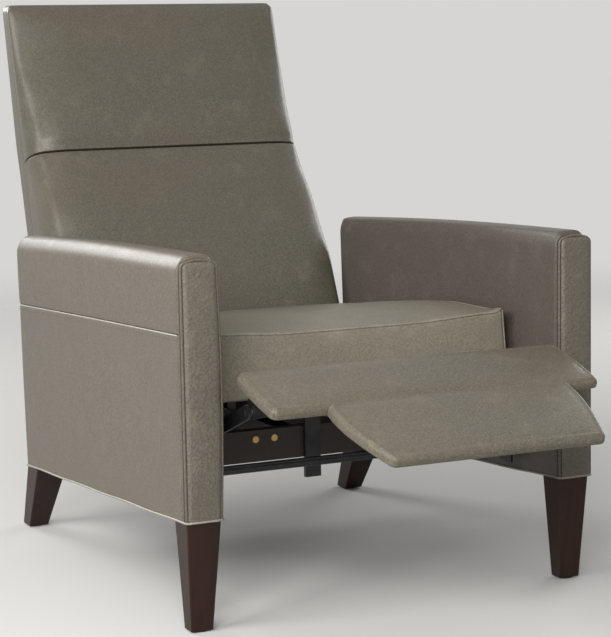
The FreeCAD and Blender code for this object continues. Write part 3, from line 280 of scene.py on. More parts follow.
def makeTube(name, points, radius, finish, body, closed=False, resolution=3):
    path = curvePath(name, [points], closed)
    path.data.bevel_depth = radius / 1000
    path.data.bevel_resolution = resolution
    path.data.use_fill_caps = not closed
    dress(meshFrom(name, path), finish, body)


def evenLoop(corners, step):
    # points about a step apart round a closed outline
    made = []
    for a, b in zip(corners, corners[1:] + corners[:1]):
        a, b = Vector(a), Vector(b)
        count = max(1, round((b - a).length / step))
        made += [a.lerp(b, i / count) for i in range(count)]
    return made


# materials

def newGroup(name, inputs):
    tree = bpy.data.node_groups.new(name, "ShaderNodeTree")
    for label, kind, default in inputs:
        socket = tree.interface.new_socket(label, in_out="INPUT", socket_type="NodeSocket" + kind)
        socket.default_value = default
    for label, kind in (("Colour", "Color"), ("Roughness", "Float"), ("Height", "Float")):
        tree.interface.new_socket(label, in_out="OUTPUT", socket_type="NodeSocket" + kind)
    place = tree.nodes.new("ShaderNodeTexCoord").outputs["Object"]
    return tree, tree.nodes.new("NodeGroupInput").outputs, tree.nodes.new("NodeGroupOutput").inputs, place


def addNode(tree, kind, inputs, **settings):
    # a node with its settings, and then its inputs: numbers, colours or other nodes' outputs
    node = tree.nodes.new(kind)
    for label, value in settings.items():
        setattr(node, label, value)
    for label, value in inputs.items():
        if isinstance(value, (int, float, tuple)):
            node.inputs[label].default_value = value
        else:
            tree.links.new(value, node.inputs[label])
    return node


def mathNode(tree, operation, a, b=0.0):
    return addNode(tree, "ShaderNodeMath", {0: a, 1: b}, operation=operation).outputs[0]


def noise(tree, vector, scale, detail, roughness):
    return addNode(tree, "ShaderNodeTexNoise", {
        "Vector": vector, "Scale": scale, "Detail": detail, "Roughness": roughness}).outputs["Fac"]


def remap(tree, value, low, high, newLow, newHigh, **settings):
    return addNode(tree, "ShaderNodeMapRange", {
        "Value": value, "From Min": low, "From Max": high, "To Min": newLow, "To Max": newHigh,
    }, **settings).outputs["Result"]


def tint(tree, factor, a, b, blend="MIX"):
    return addNode(tree, "ShaderNodeMix", {"Factor": factor, "A": a, "B": b},
                   data_type="RGBA", blend_type=blend).outputs["Result"]


def colour(red, green, blue):
    # an sRGB colour, 0 to 255, as the shader takes it
    def linear(value):
        value /= 255
        return value / 12.92 if value <= 0.04045 else ((value + 0.055) / 1.055) ** 2.4
    return (linear(red), linear(green), linear(blue), 1)


# Leather. Noises have a scale, a detail and a roughness, where the first two get their scale from the material.
# The ranges say from what to what a noise is read, and what it becomes.
hideLook = {
    "clouds": (4, 0.55), "flecks": (8, 0.72), "scars": (21.0, 7, 0.68), "creases": (62.0, 4, 0.6),
    "waves": (11.0, 2, 0.5), "cool": (0.40, 0.60, 0, 1), "scarred": (0.54, 0.78, 0, 0.6),
    "flecked": (0.47, 0.70, 0, 0.75), "fleckDark": (0.28, 0.50, 0.74, 1.0), "cloudDark": (0.34, 0.60, 0.86, 1.03),
    "scarShine": (0.3, 0.7, -0.05, 0.06), "fleckShine": (0.3, 0.7, 0.04, -0.04), "noiseMiddle": 0.5,
    "pebbleHeight": 0.30, "fleckHeight": 0.55, "creaseHeight": 4.0, "waveHeight": 2.6,
}


def makeHideGroup():
    tree, given, made, place = newGroup("hideGrain", [
        ("Tone", "Color", (0.2, 0.2, 0.2, 1)), ("Cool Tone", "Color", (0.2, 0.2, 0.2, 1)),
        ("Worn Tone", "Color", (0.3, 0.3, 0.3, 1)), ("Cloud Scale", "Float", 3.2), ("Fleck Scale", "Float", 300.0),
        ("Grain Scale", "Float", 420.0), ("Crease", "Float", 0.5), ("Wave", "Float", 1.0), ("Shine", "Float", 0.42)])
    look = hideLook
    clouds = noise(tree, place, given["Cloud Scale"], *look["clouds"])
    flecks = noise(tree, place, given["Fleck Scale"], *look["flecks"])
    scars, creases, waves = (noise(tree, place, *look[kind]) for kind in ("scars", "creases", "waves"))
    pebbles = addNode(tree, "ShaderNodeTexVoronoi", {"Vector": place, "Scale": given["Grain Scale"]},
                      feature="SMOOTH_F1").outputs["Distance"]
    base = tint(tree, remap(tree, clouds, *look["cool"]), given["Tone"], given["Cool Tone"])
    worn = tint(tree, remap(tree, scars, *look["scarred"]), base, given["Worn Tone"])
    flecked = tint(tree, remap(tree, flecks, *look["flecked"]), worn, given["Worn Tone"])
    dark = mathNode(tree, "MULTIPLY", remap(tree, flecks, *look["fleckDark"]),
                    remap(tree, clouds, *look["cloudDark"]))
    grey = addNode(tree, "ShaderNodeCombineColor", {0: dark, 1: dark, 2: dark}).outputs["Color"]
    tree.links.new(tint(tree, 1.0, flecked, grey, "MULTIPLY"), made["Colour"])
    patchy = mathNode(tree, "ADD", remap(tree, scars, *look["scarShine"]), remap(tree, flecks, *look["fleckShine"]))
    tree.links.new(mathNode(tree, "ADD", given["Shine"], patchy), made["Roughness"])
    ridges = mathNode(tree, "ABSOLUTE", mathNode(tree, "SUBTRACT", creases, look["noiseMiddle"]))
    deepRidges = mathNode(tree, "MULTIPLY", ridges, look["creaseHeight"])
    deepWaves = mathNode(tree, "MULTIPLY", waves, look["waveHeight"])
    total = mathNode(tree, "MULTIPLY", pebbles, look["pebbleHeight"])
    for height in (mathNode(tree, "MULTIPLY", flecks, look["fleckHeight"]),
                   mathNode(tree, "MULTIPLY", deepRidges, given["Crease"]),
                   mathNode(tree, "MULTIPLY", deepWaves, given["Wave"])):
        total = mathNode(tree, "ADD", total, height)
    tree.links.new(total, made["Height"])
    return tree


# lacquered dark wood, its grain drawn out along the direction in which "Stretch" is small
woodLook = {"fibres": (130.0, 6, 0.65), "figure": (30.0, 3, 0.5), "fibreShare": 0.6, "figureShare": 0.4,
            "light": (0.36, 0.64, 0, 1), "shine": (0.3, 0.7, -0.05, 0.08)}


def makeWoodGroup():
    tree, given, made, place = newGroup("woodGrain", [
        ("Light", "Color", (0.1, 0.06, 0.04, 1)), ("Dark", "Color", (0.03, 0.02, 0.015, 1)),
        ("Stretch", "Vector", (1, 1, 1)), ("Shine", "Float", 0.4)])
    stretched = addNode(tree, "ShaderNodeVectorMath", {0: place, 1: given["Stretch"]},
                        operation="MULTIPLY").outputs[0]
    fibres, figure = (noise(tree, stretched, *woodLook[kind]) for kind in ("fibres", "figure"))
    both = mathNode(tree, "ADD", mathNode(tree, "MULTIPLY", fibres, woodLook["fibreShare"]),
                    mathNode(tree, "MULTIPLY", figure, woodLook["figureShare"]))
    light = remap(tree, both, *woodLook["light"])
    tree.links.new(tint(tree, light, given["Dark"], given["Light"]), made["Colour"])
    shine = remap(tree, both, *woodLook["shine"])
    tree.links.new(mathNode(tree, "ADD", given["Shine"], shine), made["Roughness"])
    tree.links.new(fibres, made["Height"])
    return tree


# painted or plated metal and plastic, with small scuffs and handling marks
metalLook = {"marks": (60.0, 5, 0.7), "peel": (600.0, 2, 0.5), "scuffed": (0.5, 0.75, 0, 1), "dulled": 0.3}


def makeMetalGroup():
    tree, given, made, place = newGroup("metalWear", [
        ("Tone", "Color", (0.03, 0.03, 0.03, 1)), ("Scuffed", "Color", (0.1, 0.1, 0.1, 1)),
        ("Scuffs", "Float", 0.35), ("Shine", "Float", 0.4)])
    marks, peel = (noise(tree, place, *metalLook[kind]) for kind in ("marks", "peel"))
    mask = mathNode(tree, "MULTIPLY", remap(tree, marks, *metalLook["scuffed"]), given["Scuffs"])
    tree.links.new(tint(tree, mask, given["Tone"], given["Scuffed"]), made["Colour"])
    dull = mathNode(tree, "MULTIPLY", mask, metalLook["dulled"])
    tree.links.new(mathNode(tree, "ADD", given["Shine"], dull), made["Roughness"])
    tree.links.new(peel, made["Height"])
    return tree


groups = {"hide": makeHideGroup(), "wood": makeWoodGroup(), "metal": makeMetalGroup()}
coatRoughness = 0.3


groupTones = {"hide": ("Tone", "Cool Tone", "Worn Tone"), "wood": ("Light", "Dark"), "metal": ("Tone", "Scuffed")}


def material(name, group, tones, values, bump=0.2, depth=0.0006, metallic=0.0, coat=0.0, gloss=0.5):
    made = bpy.data.materials.new(name)
    made.use_nodes = True
    tree = made.node_tree
    source = tree.nodes.new("ShaderNodeGroup")
    source.node_tree = groups[group]
    for label, tone in zip(groupTones[group], tones):
        source.inputs[label].default_value = colour(*tone)
    for label, value in values.items():
        source.inputs[label].default_value = value
    relief = addNode(tree, "ShaderNodeBump", {
        "Strength": bump, "Distance": depth, "Height": source.outputs["Height"]})
    shader = tree.nodes["Principled BSDF"].inputs
    tree.links.new(source.outputs["Colour"], shader["Base Color"])
    tree.links.new(source.outputs["Roughness"], shader["Roughness"])
    tree.links.new(relief.outputs["Normal"], shader["Normal"])
    shader["Metallic"].default_value = metallic
    shader["Coat Weight"].default_value = coat
    shader["Coat Roughness"].default_value = coatRoughness
    shader["Specular IOR Level"].default_value = gloss
    return made


armTones = ((109, 100, 88), (97, 91, 81), (137, 127, 111))
leather = material("hide", "hide", armTones, {"Shine": 0.45}, bump=0.42, depth=0.0011, coat=0.22, gloss=0.3)
# painted shade: a darker copy of the arm leather for the far arm's cover, whose inner side lies in shade
shadedFarLeather = material("shadedFarHide", "hide", ((94, 86, 78), (84, 78, 72), (120, 111, 101)), {"Shine": 0.47},
                      bump=0.42, depth=0.0011, coat=0.2, gloss=0.35)
backLeather = material("backHide", "hide", ((99, 92, 79), (86, 84, 72), (124, 116, 100)), {"Shine": 0.43},
                       bump=0.42, depth=0.0011, coat=0.32, gloss=0.35)
seatLeather = material("seatHide", "hide", ((142, 135, 119), (129, 126, 111), (170, 163, 145)), {"Shine": 0.46},
                       bump=0.42, depth=0.0011, coat=0.08, gloss=0.25)
footLeather = material("footHide", "hide", ((114, 106, 92), (101, 96, 84), (142, 134, 116)), {"Shine": 0.43},
                       bump=0.45, depth=0.0011, coat=0.16, gloss=0.25)
frontLeather = material("frontHide", "hide", armTones, {"Crease": 1.5, "Shine": 0.43},
                        bump=0.5, depth=0.0012, coat=0.08)
# the piping's leather, a little lighter than the seat's: partly its own tone, partly a painted highlight along its
# rounded edge
weltLeatherWithHighlight = material("weltHide", "hide", ((150, 142, 126), (138, 131, 117), (186, 177, 160)), {"Shine": 0.36},
                       bump=0.3, coat=0.15)
# painted highlight: a pale leather tone for the welts under the arm seam and round the arm's bottom edge, standing in
# for the light their rounded edges catch
paintedHighlightWelt = material("paintedHighlightWelt", "hide", ((166, 159, 146), (154, 148, 136), (196, 189, 176)), {"Shine": 0.34},
                    bump=0.3, coat=0.15)
# painted shade: a dark leather tone for thin tubes laid along the seams, in the grooves and gaps round the arm fronts
# and down the pads' corner folds, where shade falls
paintedSeamShade = material("paintedSeamShade", "hide", ((50, 45, 39), (46, 42, 37), (62, 56, 49)), {"Shine": 0.6})
threadTone = material("thread", "hide", ((104, 96, 84), (100, 93, 82), (118, 110, 98)),
                      {"Grain Scale": 1500.0, "Shine": 0.55})
railWood = material("railWood", "wood", ((42, 30, 24), (26, 18, 15)), {"Stretch": (0.05, 1, 1), "Shine": 0.55},
                    bump=0.15, depth=0.0003)
darkPlywood = material("darkPlywood", "wood", ((58, 48, 39), (38, 31, 26)), {"Stretch": (0.2, 1, 1), "Shine": 0.7},
                       depth=0.0004)
slotMaterials = {
    "hide": leather,
    "dark_wood": material("walnut", "wood", ((51, 27, 16), (29, 15, 10)), {"Stretch": (1, 1, 0.07), "Shine": 0.44},
                          bump=0.12, depth=0.0003, coat=0.08, gloss=0.25),
    "plywood": material("plywood", "wood", ((202, 172, 130), (168, 134, 94)),
                        {"Stretch": (0.2, 1, 1), "Shine": 0.62}, depth=0.0004),
    "black_steel": material("blackSteel", "metal", ((34, 34, 36), (84, 84, 86)), {"Scuffs": 0.35, "Shine": 0.36},
                            bump=0.12, depth=0.0002, metallic=0.35),
    "bright_steel": material("brightSteel", "metal", ((168, 170, 173), (120, 120, 122)),
                             {"Scuffs": 0.6, "Shine": 0.28}, bump=0.08, depth=0.0002, metallic=1),
    "brass": material("brassMetal", "metal", ((214, 176, 108), (150, 118, 70)), {"Scuffs": 0.4, "Shine": 0.28},
                      bump=0.08, depth=0.0002, metallic=1),
    "black_plastic": material("blackPlastic", "metal", ((36, 36, 38), (58, 58, 60)), {"Scuffs": 0.25, "Shine": 0.5},
                              bump=0.25, depth=0.0003),
    "rocker_plastic": material("rockerPlastic", "metal", ((58, 58, 60), (84, 84, 86)),
                               {"Scuffs": 0.25, "Shine": 0.38}, bump=0.15, depth=0.0002),
    "webbing": material("webbing", "metal", ((52, 52, 54), (92, 90, 86)), {"Scuffs": 0.5, "Shine": 0.75}, bump=0.6),
}
nodeMaterials = {"front_rail": railWood, "rear_rail": railWood, "footrest_board": darkPlywood,
                 "tongue_board": darkPlywood}
for part in frame["record"]["subparts"]:
    materials = nodes[part["node"]].data.materials
    materials.clear()
    materials.append(nodeMaterials.get(part["node"], slotMaterials[part["material_slot"]]))
print("materials made")


# stitches: short threads set along a path by Geometry Nodes

stitchSpacing = 6.5


def makeStitchTree():
    tree = bpy.data.node_groups.new("stitchRow", "GeometryNodeTree")
    tree.interface.new_socket("Path", in_out="INPUT", socket_type="NodeSocketGeometry")
    for label, default in (("Spacing", stitchSpacing / 1000), ("Thread", 0.0005), ("Stitch", 0.0046)):
        socket = tree.interface.new_socket(label, in_out="INPUT", socket_type="NodeSocketFloat")
        socket.default_value = default
    tree.interface.new_socket("Finish", in_out="INPUT", socket_type="NodeSocketMaterial")
    tree.interface.new_socket("Stitches", in_out="OUTPUT", socket_type="NodeSocketGeometry")
    given = tree.nodes.new("NodeGroupInput").outputs
    points = addNode(tree, "GeometryNodeCurveToPoints", {"Curve": given["Path"], "Length": given["Spacing"]},
                     mode="LENGTH").outputs
    thread = addNode(tree, "GeometryNodeMeshUVSphere", {"Segments": 6, "Rings": 5, "Radius": 1}).outputs["Mesh"]
    size = addNode(tree, "ShaderNodeCombineXYZ", {
        "X": given["Thread"], "Y": given["Thread"], "Z": mathNode(tree, "MULTIPLY", given["Stitch"], 0.5)})
    row = addNode(tree, "GeometryNodeInstanceOnPoints", {
        "Points": points["Points"], "Rotation": points["Rotation"], "Instance": thread, "Scale": size.outputs[0]})
    real = addNode(tree, "GeometryNodeRealizeInstances", {"Geometry": row.outputs["Instances"]})
    paint = addNode(tree, "GeometryNodeSetMaterial", {
        "Geometry": real.outputs["Geometry"], "Material": given["Finish"]})
    tree.links.new(paint.outputs["Geometry"], tree.nodes.new("NodeGroupOutput").inputs["Stitches"])
    return tree


stitchTree = makeStitchTree()


def makeStitches(name, points, body):
    # a row of stitches through points in the room
    row = curvePath(name, [points])
    sewing = row.modifiers.new("sewing", "NODES")
    sewing.node_group = stitchTree
    sockets = {item.name: item.identifier for item in stitchTree.interface.items_tree if item.in_out == "INPUT"}
    sewing[sockets["Spacing"]] = stitchSpacing / 1000
    sewing[sockets["Finish"]] = threadTone
    piece = meshFrom(name, row)
    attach(piece, body)


# arms

arm = {
    "inner": 319, "thick": 65, "length": 850, "height": 415, "frontTop": 621, "rearTop": 586, "topDepth": 871,
    "frontBottom": 186, "rearBottom": 133, "footDepth": 850,
    "radii": {-1: ((26, 13), (11, 12), (3, 24)), 1: ((13, 18), (11, 12), (3, 24))}, "steps": (8, 22, 20),
    "frontLines": (22, 32, 44, 60), "seamShare": 0.7145,
    "seamLines": (-14, -7, -3.5, -1.5, -0.5, 0.5, 1.5, 3.5, 7, 14),
    # the top's crown across, which starts below the top, and its bow along the arm
    "crown": 6, "crownStart": -16, "crownReach": 16, "bow": 5, "bowPower": 4,
    # the padding of both sides, which pulls in at the ends and at the seam
    "sideStart": 14, "sideReach": 12, "endPull": 0.3, "roundness": 0.5, "outerTuck": 1.6, "aboveSeam": 3.2,
    "belowSeam": 2.0, "seamDip": 2.2, "seamWidth": 1.6, "innerPad": 2.0, "innerTuck": 1.8,
    # how the sides fill out further: the outer one all over, the inner one towards the front
    "outerSwell": {-1: 0, 1: 3.5}, "innerSwell": {-1: 6, 1: 1}, "swellLow": 0.6, "swellRise": 0.8, "swellReach": 70,
    # what runs along the seam by its inset and lift, and the shade and the welt by their radius too: the shade is a
    # dark tube of painted shadow under the padded upper side, the welt a pale tube that paints the highlight on the
    # lower side's edge
    "seams": (("Seam", paintedSeamShade, 3.2, 0.9, 1.0), ("SeamWelt", paintedHighlightWelt, 2.5, -1.4, 1.5)),
    "stitches": (0.95, -8.5), "seamEnds": (0.014, 0.985), "seamCount": 60, "stitchCount": 80,
}


def armMiddle(side):
    return side * (arm["inner"] + arm["thick"] / 2)


def armBottom(y):
    return mix(arm["frontBottom"], arm["rearBottom"], y / arm["footDepth"])


def armTop(y):
    return mix(arm["frontTop"], arm["rearTop"], y / arm["topDepth"])


def armSpot(side, x, depthShare, heightShare, crown=0.0):
    # A place in the arm: x from its middle, depth from the front panel to the slanted rear, height 0 to 1.
    rear = mix(arm["footDepth"], arm["topDepth"], heightShare)
    y = mix(armFront["thick"], rear, depthShare)
    high = armTop(y) - arm["crown"] * (1 - crown)
    high += arm["bow"] * math.sin(math.pi * clamp(depthShare)) * heightShare ** arm["bowPower"]
    return spot(armMiddle(side) + x, y, mix(armBottom(y), high, heightShare))


def frontSwell(side, heightShare, y):
    # the arm's inner side fills out towards its front
    full = arm["swellLow"] + arm["swellRise"] * math.sin(math.pi * clamp(heightShare))
    return arm["innerSwell"][side] * full * (1 - ramp(y, armFront["thick"], arm["swellReach"]))


def makeArm(side):
    name = sideNames[side]
    half, length, height = arm["thick"] / 2, arm["length"], arm["height"]
    seam = arm["seamShare"] * height
    form = {"radii": arm["radii"][side], "steps": arm["steps"],
            "lines": ((), arm["frontLines"], [seam + step for step in arm["seamLines"]])}

    def place(x, y, z):
        depthShare, heightShare = y / length, z / height
        outward, fromSeam = x * side, z - seam
        ends = hump(depthShare, arm["endPull"])
        pad, share = (arm["aboveSeam"], fromSeam / (height - seam)) if fromSeam > 0 else (arm["belowSeam"], z / seam)
        swell = pad * hump(share, arm["roundness"]) * ends
        dip = arm["seamDip"] * math.exp(-(fromSeam / arm["seamWidth"]) ** 2)
        x -= side * ramp(outward - half, -arm["sideStart"], arm["sideReach"]) \
            * (arm["outerTuck"] + dip - swell - arm["outerSwell"][side])
        inner = arm["innerPad"] * hump(heightShare, arm["roundness"]) * ends - arm["innerTuck"]
        inner += frontSwell(side, heightShare, y + armFront["thick"])
        x -= side * smooth((arm["sideStart"] - half - outward) / arm["sideReach"]) * inner
        crown = dome(x / half, 2) * ramp(z - height, arm["crownStart"], arm["crownReach"])
        return armSpot(side, x, depthShare, heightShare, crown)

    makeSoft(f"armCover.{name}", (half, length, height), form, place, leather if side < 0 else shadedFarLeather,
             "chassis", f"arm_cover_{name}", fill=0.9)

    def seamPath(inset, lift, count=arm["seamCount"]):
        across = side * (half + arm["outerSwell"][side] - inset)
        return [armSpot(side, across, share, arm["seamShare"] + lift / height)
                for share in spread(*arm["seamEnds"], count)]

    for label, finish, inset, lift, radius in arm["seams"]:
        makeTube(f"arm{label}.{name}", seamPath(inset, lift), radius, finish, "chassis")
    makeStitches(f"armStitches.{name}", seamPath(*arm["stitches"], arm["stitchCount"]), "chassis")
    makeArmFront(side)
    makeFootWelt(side)


# the arm's upholstered front panel, with the welt and the dark tubes of painted seam shade that arch round it
armFront = {
    "thick": 12, "inset": 6.0, "top": 612, "radii": ((7, 7), (5, 1), (2, 9)), "steps": (6, 3, 14),
    "puff": 2.4, "puffAcross": 0.6, "puffUp": 0.3, "crown": 3, "crownStart": 0.9, "crownReach": 0.1,
    "weltInset": 3.9, "archFoot": 3, "cornerCuts": 7, "sideCuts": 40, "topCuts": 12,
    # each arch by how far inwards of the welt it lies, its depth, its corners' turn, its radius and its resolution;
    # WeltShade and Join are painted shade, in the groove beside the welt and in the gap to the cover
    "arches": (("Welt", leather, 0, 8, 10, 2.5, 5), ("WeltShade", paintedSeamShade, 2.4, 6.2, 8.5, 0.9, 3),
               ("Join", paintedSeamShade, -1.6, 11.6, 11, 1.1, 3)),
}


def archPoints(side, inset, y, turn):
    # the arm front's outline, inset: up one edge, over the top and down the other
    half, top = arm["thick"] / 2 - inset, armFront["top"] - inset
    rise = [(-half, z) for z in spread(arm["frontBottom"] + armFront["archFoot"], top - turn, armFront["sideCuts"])]
    for i in range(1, armFront["cornerCuts"]):
        angle = math.pi / 2 * i / armFront["cornerCuts"]
        rise.append((-half + turn * (1 - math.cos(angle)), top - turn + turn * math.sin(angle)))
    over = [(x, top + armFront["crown"] * (1 - (x / (half - turn)) ** 2))
            for x in spread(-half + turn, half - turn, armFront["topCuts"])]
    path = []
    for x, z in rise + over + [(-x, z) for x, z in reversed(rise)]:
        swell = clamp(-side * x / half) * frontSwell(side, (z - arm["frontBottom"]) / arm["height"], y)
        swell -= clamp(side * x / half) * arm["outerSwell"][side]
        path.append(spot(armMiddle(side) + x - side * swell, y, z))
    return path


def makeArmFront(side):
    name, deep = sideNames[side], armFront["thick"]
    half = arm["thick"] / 2 - armFront["inset"]
    height = armFront["top"] - arm["frontBottom"] - armFront["inset"]

    def place(x, y, z):
        share, across, front = z / height, x / half, 1 - y / deep
        pillow = armFront["puff"] * dome(across, 2, armFront["puffAcross"]) * hump(share, armFront["puffUp"])
        crown = armFront["crown"] * (1 - across ** 2) * ramp(share, armFront["crownStart"], armFront["crownReach"])
        x -= side * clamp(-side * across) * frontSwell(side, share, 0)
        x += side * clamp(side * across) * arm["outerSwell"][side]
        return spot(armMiddle(side) + x, y + front * (armFront["puff"] - pillow), arm["frontBottom"] + z + crown)

    makeSoft(f"armFront.{name}", (half, deep, height), armFront, place, frontLeather, "chassis",
             f"arm_panel_{name}", fill=0.9)
    for label, finish, inwards, depth, turn, radius, resolution in armFront["arches"]:
        points = archPoints(side, armFront["weltInset"] + inwards, depth, turn)
        makeTube(f"arm{label}.{name}", points, radius, finish, "chassis", resolution=resolution)


# a thin welt round the arm's bottom edge, pale with a painted highlight: its corners are cut, and it waves a little
footWelt = {"radius": 1.9, "inset": 1.6, "front": 2, "cut": 5, "swellGone": 90, "step": 12, "lift": 1.8,
            "wave": 0.6, "waveLength": 37}


def makeFootWelt(side):
    inner = arm["inner"] + footWelt["inset"]
    outer = arm["inner"] + arm["thick"] - footWelt["inset"] + arm["outerSwell"][side]
    swell, front, cut = frontSwell(side, 0, 0), footWelt["front"], footWelt["cut"]
    rear = arm["footDepth"] - front
    corners = [(inner + cut - swell, front), (outer - cut, front), (outer, front + cut), (outer, rear - cut),
               (outer - cut, rear), (inner + cut, rear), (inner, rear - cut), (inner, footWelt["swellGone"]),
               (inner - swell, armFront["thick"]), (inner - swell, front + cut)]
    path = []
    for x, y, _ in evenLoop([(side * x, y, 0) for x, y in corners], footWelt["step"]):
        wave = footWelt["wave"] * math.sin(y / footWelt["waveLength"])
        path.append(spot(x, y, armBottom(y) + footWelt["lift"] + wave))
    makeTube(f"armFootWelt.{sideNames[side]}", path, footWelt["radius"], paintedHighlightWelt, "chassis", closed=True)


for hand in sideNames:
    makeArm(hand)
print("arms made")


# seat cushion

seat = {
    "half": 297, "front": 150, "rear": 764, "high": 112, "top": [(150, 458), (330, 457), (764, 418)],
    "under": 405.9, "lip": 350, "lipEdge": (176, 8),
    "radii": ((8, 8), (8, 5), (6, 8)), "steps": (15, 15, 10), "sideLines": (18, 34), "frontLines": (26, 30, 34),
    "held": (13, 16, 12, 1, 0), "pressure": 2.0, "cap": 5,
    # the crown, lower at the front and gone at the rear, and the sides and front corners that stand up
    "crown": 7, "crownShape": (6, 0.8), "crownFront": 0.35, "crownRise": 3, "crownRear": (0.45, 0.55),
    "side": 9, "sideSlope": 1.6, "sideStart": 0.6, "sideRear": (380, 200),
    "ear": 6, "earReach": 24, "earPower": 1.5, "earRear": (6, 42), "topRise": (0.4, 0.6),
    # the front face, which bulges, and the sides, which splay towards the bottom
    "faceDepth": 6, "faceTuck": 3.4, "faceBulge": 3.8, "faceShape": (4, 0.5), "faceFade": 30,
    "sideTuck": 1.5, "splay": 7, "splayFade": (20, 60), "splayAhead": 0.4,
    # the welts round the top and down both front corners, in a leather a little lighter than the seat's, which paints
    # their highlight
    "welt": 2.0, "weltEdge": 3.0, "weltFront": 4.6, "weltSink": 1.6, "weltRear": 700, "weltTurn": 8,
    "weltCuts": (40, 4, 60), "weltSpread": 0.7,
    "corner": 1.6, "cornerOut": 1.2, "cornerAhead": 1.6, "cornerFoot": 8, "cornerTop": 4, "cornerCuts": 16,
}


edgeTurn = 0.93


def edgeRoll(share):
    # how far a padded face has fallen away at an edge, from 0 at a share of 1 to 0.63 at the edge
    turn = edgeTurn * (1 - clamp(share))
    return 1 - math.sqrt(1 - turn * turn)


def seatTop(y):
    return along(seat["top"], y)


def seatEar(x, y):
    # the sides stand up a little, the sewn front corners more
    inwards = ramp(abs(x) - seat["half"], -seat["earReach"], seat["earReach"]) ** seat["earPower"]
    ear = seat["ear"] * inwards * (1 - ramp(y - seat["front"], *seat["earRear"]))
    side = seat["side"] * smooth(abs(x) / seat["half"] * seat["sideSlope"] - seat["sideStart"])
    return ear + side * (1 - ramp(y, *seat["sideRear"]))


def seatBottom(y):
    return mix(seat["lip"], seat["under"], ramp(y, *seat["lipEdge"]))


def seatDome(x, y):
    share = clamp((y - seat["front"]) / (seat["rear"] - seat["front"]))
    crown = seat["crown"] * dome(x / seat["half"], *seat["crownShape"])
    return crown * min(1, seat["crownFront"] + seat["crownRise"] * share) * (1 - ramp(share, *seat["crownRear"]))


def seatWeltSpot(x, y):
    dip = seatDome(min(abs(x), seat["half"] - seat["weltEdge"]), y)
    return spot(x, y, seatTop(y) + seatEar(x, y) + dip - seat["weltSink"])


def makeSeat():
    half, deep, high = seat["half"], seat["rear"] - seat["front"], seat["high"]
    form = {**seat, "lines": (mirrored([half - step for step in seat["sideLines"]]), seat["frontLines"], ())}

    def place(x, y, z):
        real, share = y + seat["front"], clamp(z / high)
        top = seatTop(real) + (seatDome(x, real) + seatEar(x, real)) * ramp(share, *seat["topRise"])
        if y < seat["faceDepth"]:
            bulge = dome(x / half, *seat["faceShape"])
            out = seat["faceTuck"] - seat["faceBulge"] * bulge * math.sin(math.pi * share)
        else:
            out = seat["faceTuck"] * (1 - ramp(y, seat["faceDepth"], seat["faceFade"]))
        splay = seat["splay"] * (1 - share) * (1 - ramp(y, *seat["splayFade"]))
        return spot(x * (1 + splay / half) - math.copysign(seat["sideTuck"], x) * share,
                    real + out - seat["splayAhead"] * splay, mix(seatBottom(real), top, share))

    makeSoft("seatCushion", (half, deep, high), form, place, seatLeather, "carriage", "seat_cushion", fill=0.8)
    edge, front, turn = half - seat["weltEdge"], seat["front"] + seat["weltFront"], seat["weltTurn"]
    sideCuts, cornerCuts, frontCuts = seat["weltCuts"]
    line = [seatWeltSpot(edge, mix(seat["weltRear"], front + turn, (i / sideCuts) ** seat["weltSpread"]))
            for i in range(sideCuts + 1)]
    for i in range(1, cornerCuts):
        angle = math.pi / 2 * i / cornerCuts
        line.append(seatWeltSpot(edge - turn * (1 - math.cos(angle)), front + turn - turn * math.sin(angle)))
    corner = len(line)
    line += [seatWeltSpot(x, front) for x in spread(edge - turn, turn - edge, frontCuts)]
    line += [Vector((-point.x, point.y, point.z)) for point in reversed(line[:corner])]
    makeTube("seatWelt", line, seat["welt"], weltLeatherWithHighlight, "carriage")
    foot, crest = seat["lip"] + seat["cornerFoot"], seatTop(seat["front"]) + seat["ear"] + seat["side"]
    for side, name in sideNames.items():
        down = []
        for share in spread(0, 1, seat["cornerCuts"]):
            splay = seat["splay"] * (1 - share)
            down.append(spot(side * (edge + seat["cornerOut"] + splay),
                             front + seat["cornerAhead"] - seat["splayAhead"] * splay,
                             mix(foot, crest - seat["cornerTop"], share)))
        makeTube(f"seatCornerWelt.{name}", down, seat["corner"], weltLeatherWithHighlight, "carriage")


makeSeat()
print("seat made")


# back: lumbar cushion, headrest pillow and outside shell

back = {
    "half": 293, "inset": 0.8, "foot": 398, "seam": 742, "top": 1037, "gap": 0.3, "pillowDepth": 100.0,
    "edgeLines": (28, 34, 42, 52, 63, 75), "pressure": 2.0, "cap": 5,
    # how much wider than its board the back is, at the top, further down, and there on the right
    "wider": (6.5, 4, 3.5), "widerLow": (0, 250), "widerFoot": (385, 12),
    # how the faces roll back at the sides, and how the seam between the pillows runs down towards the rear
    "edge": 78, "edgeDepth": 42, "edgeShare": 0.72, "sideDrop": 26, "seamFall": 12,
}
lumbar = {
    "name": "backCushion", "node": "back_cushion", "fill": 0.8, "low": back["foot"],
    "high": back["seam"] - back["gap"], "radii": ((22, 22), (55, 1.0), (9, 2)), "steps": (16, 16, 15),
    "topLines": (5, 10, 18), "held": (12, 0, 80, 10, 10), "puff": 9, "puffAcross": (2, 0.5), "puffUp": 0.5,
    "dip": 4, "dipWidth": 5, "drop": (0.6, 0.4),
    "face": [(398, 783), (412, 792), (521, 840), (548, 862), (580, 883), (613, 901), (645, 922), (678, 948),
             (710, 970), (742, 989)],
}
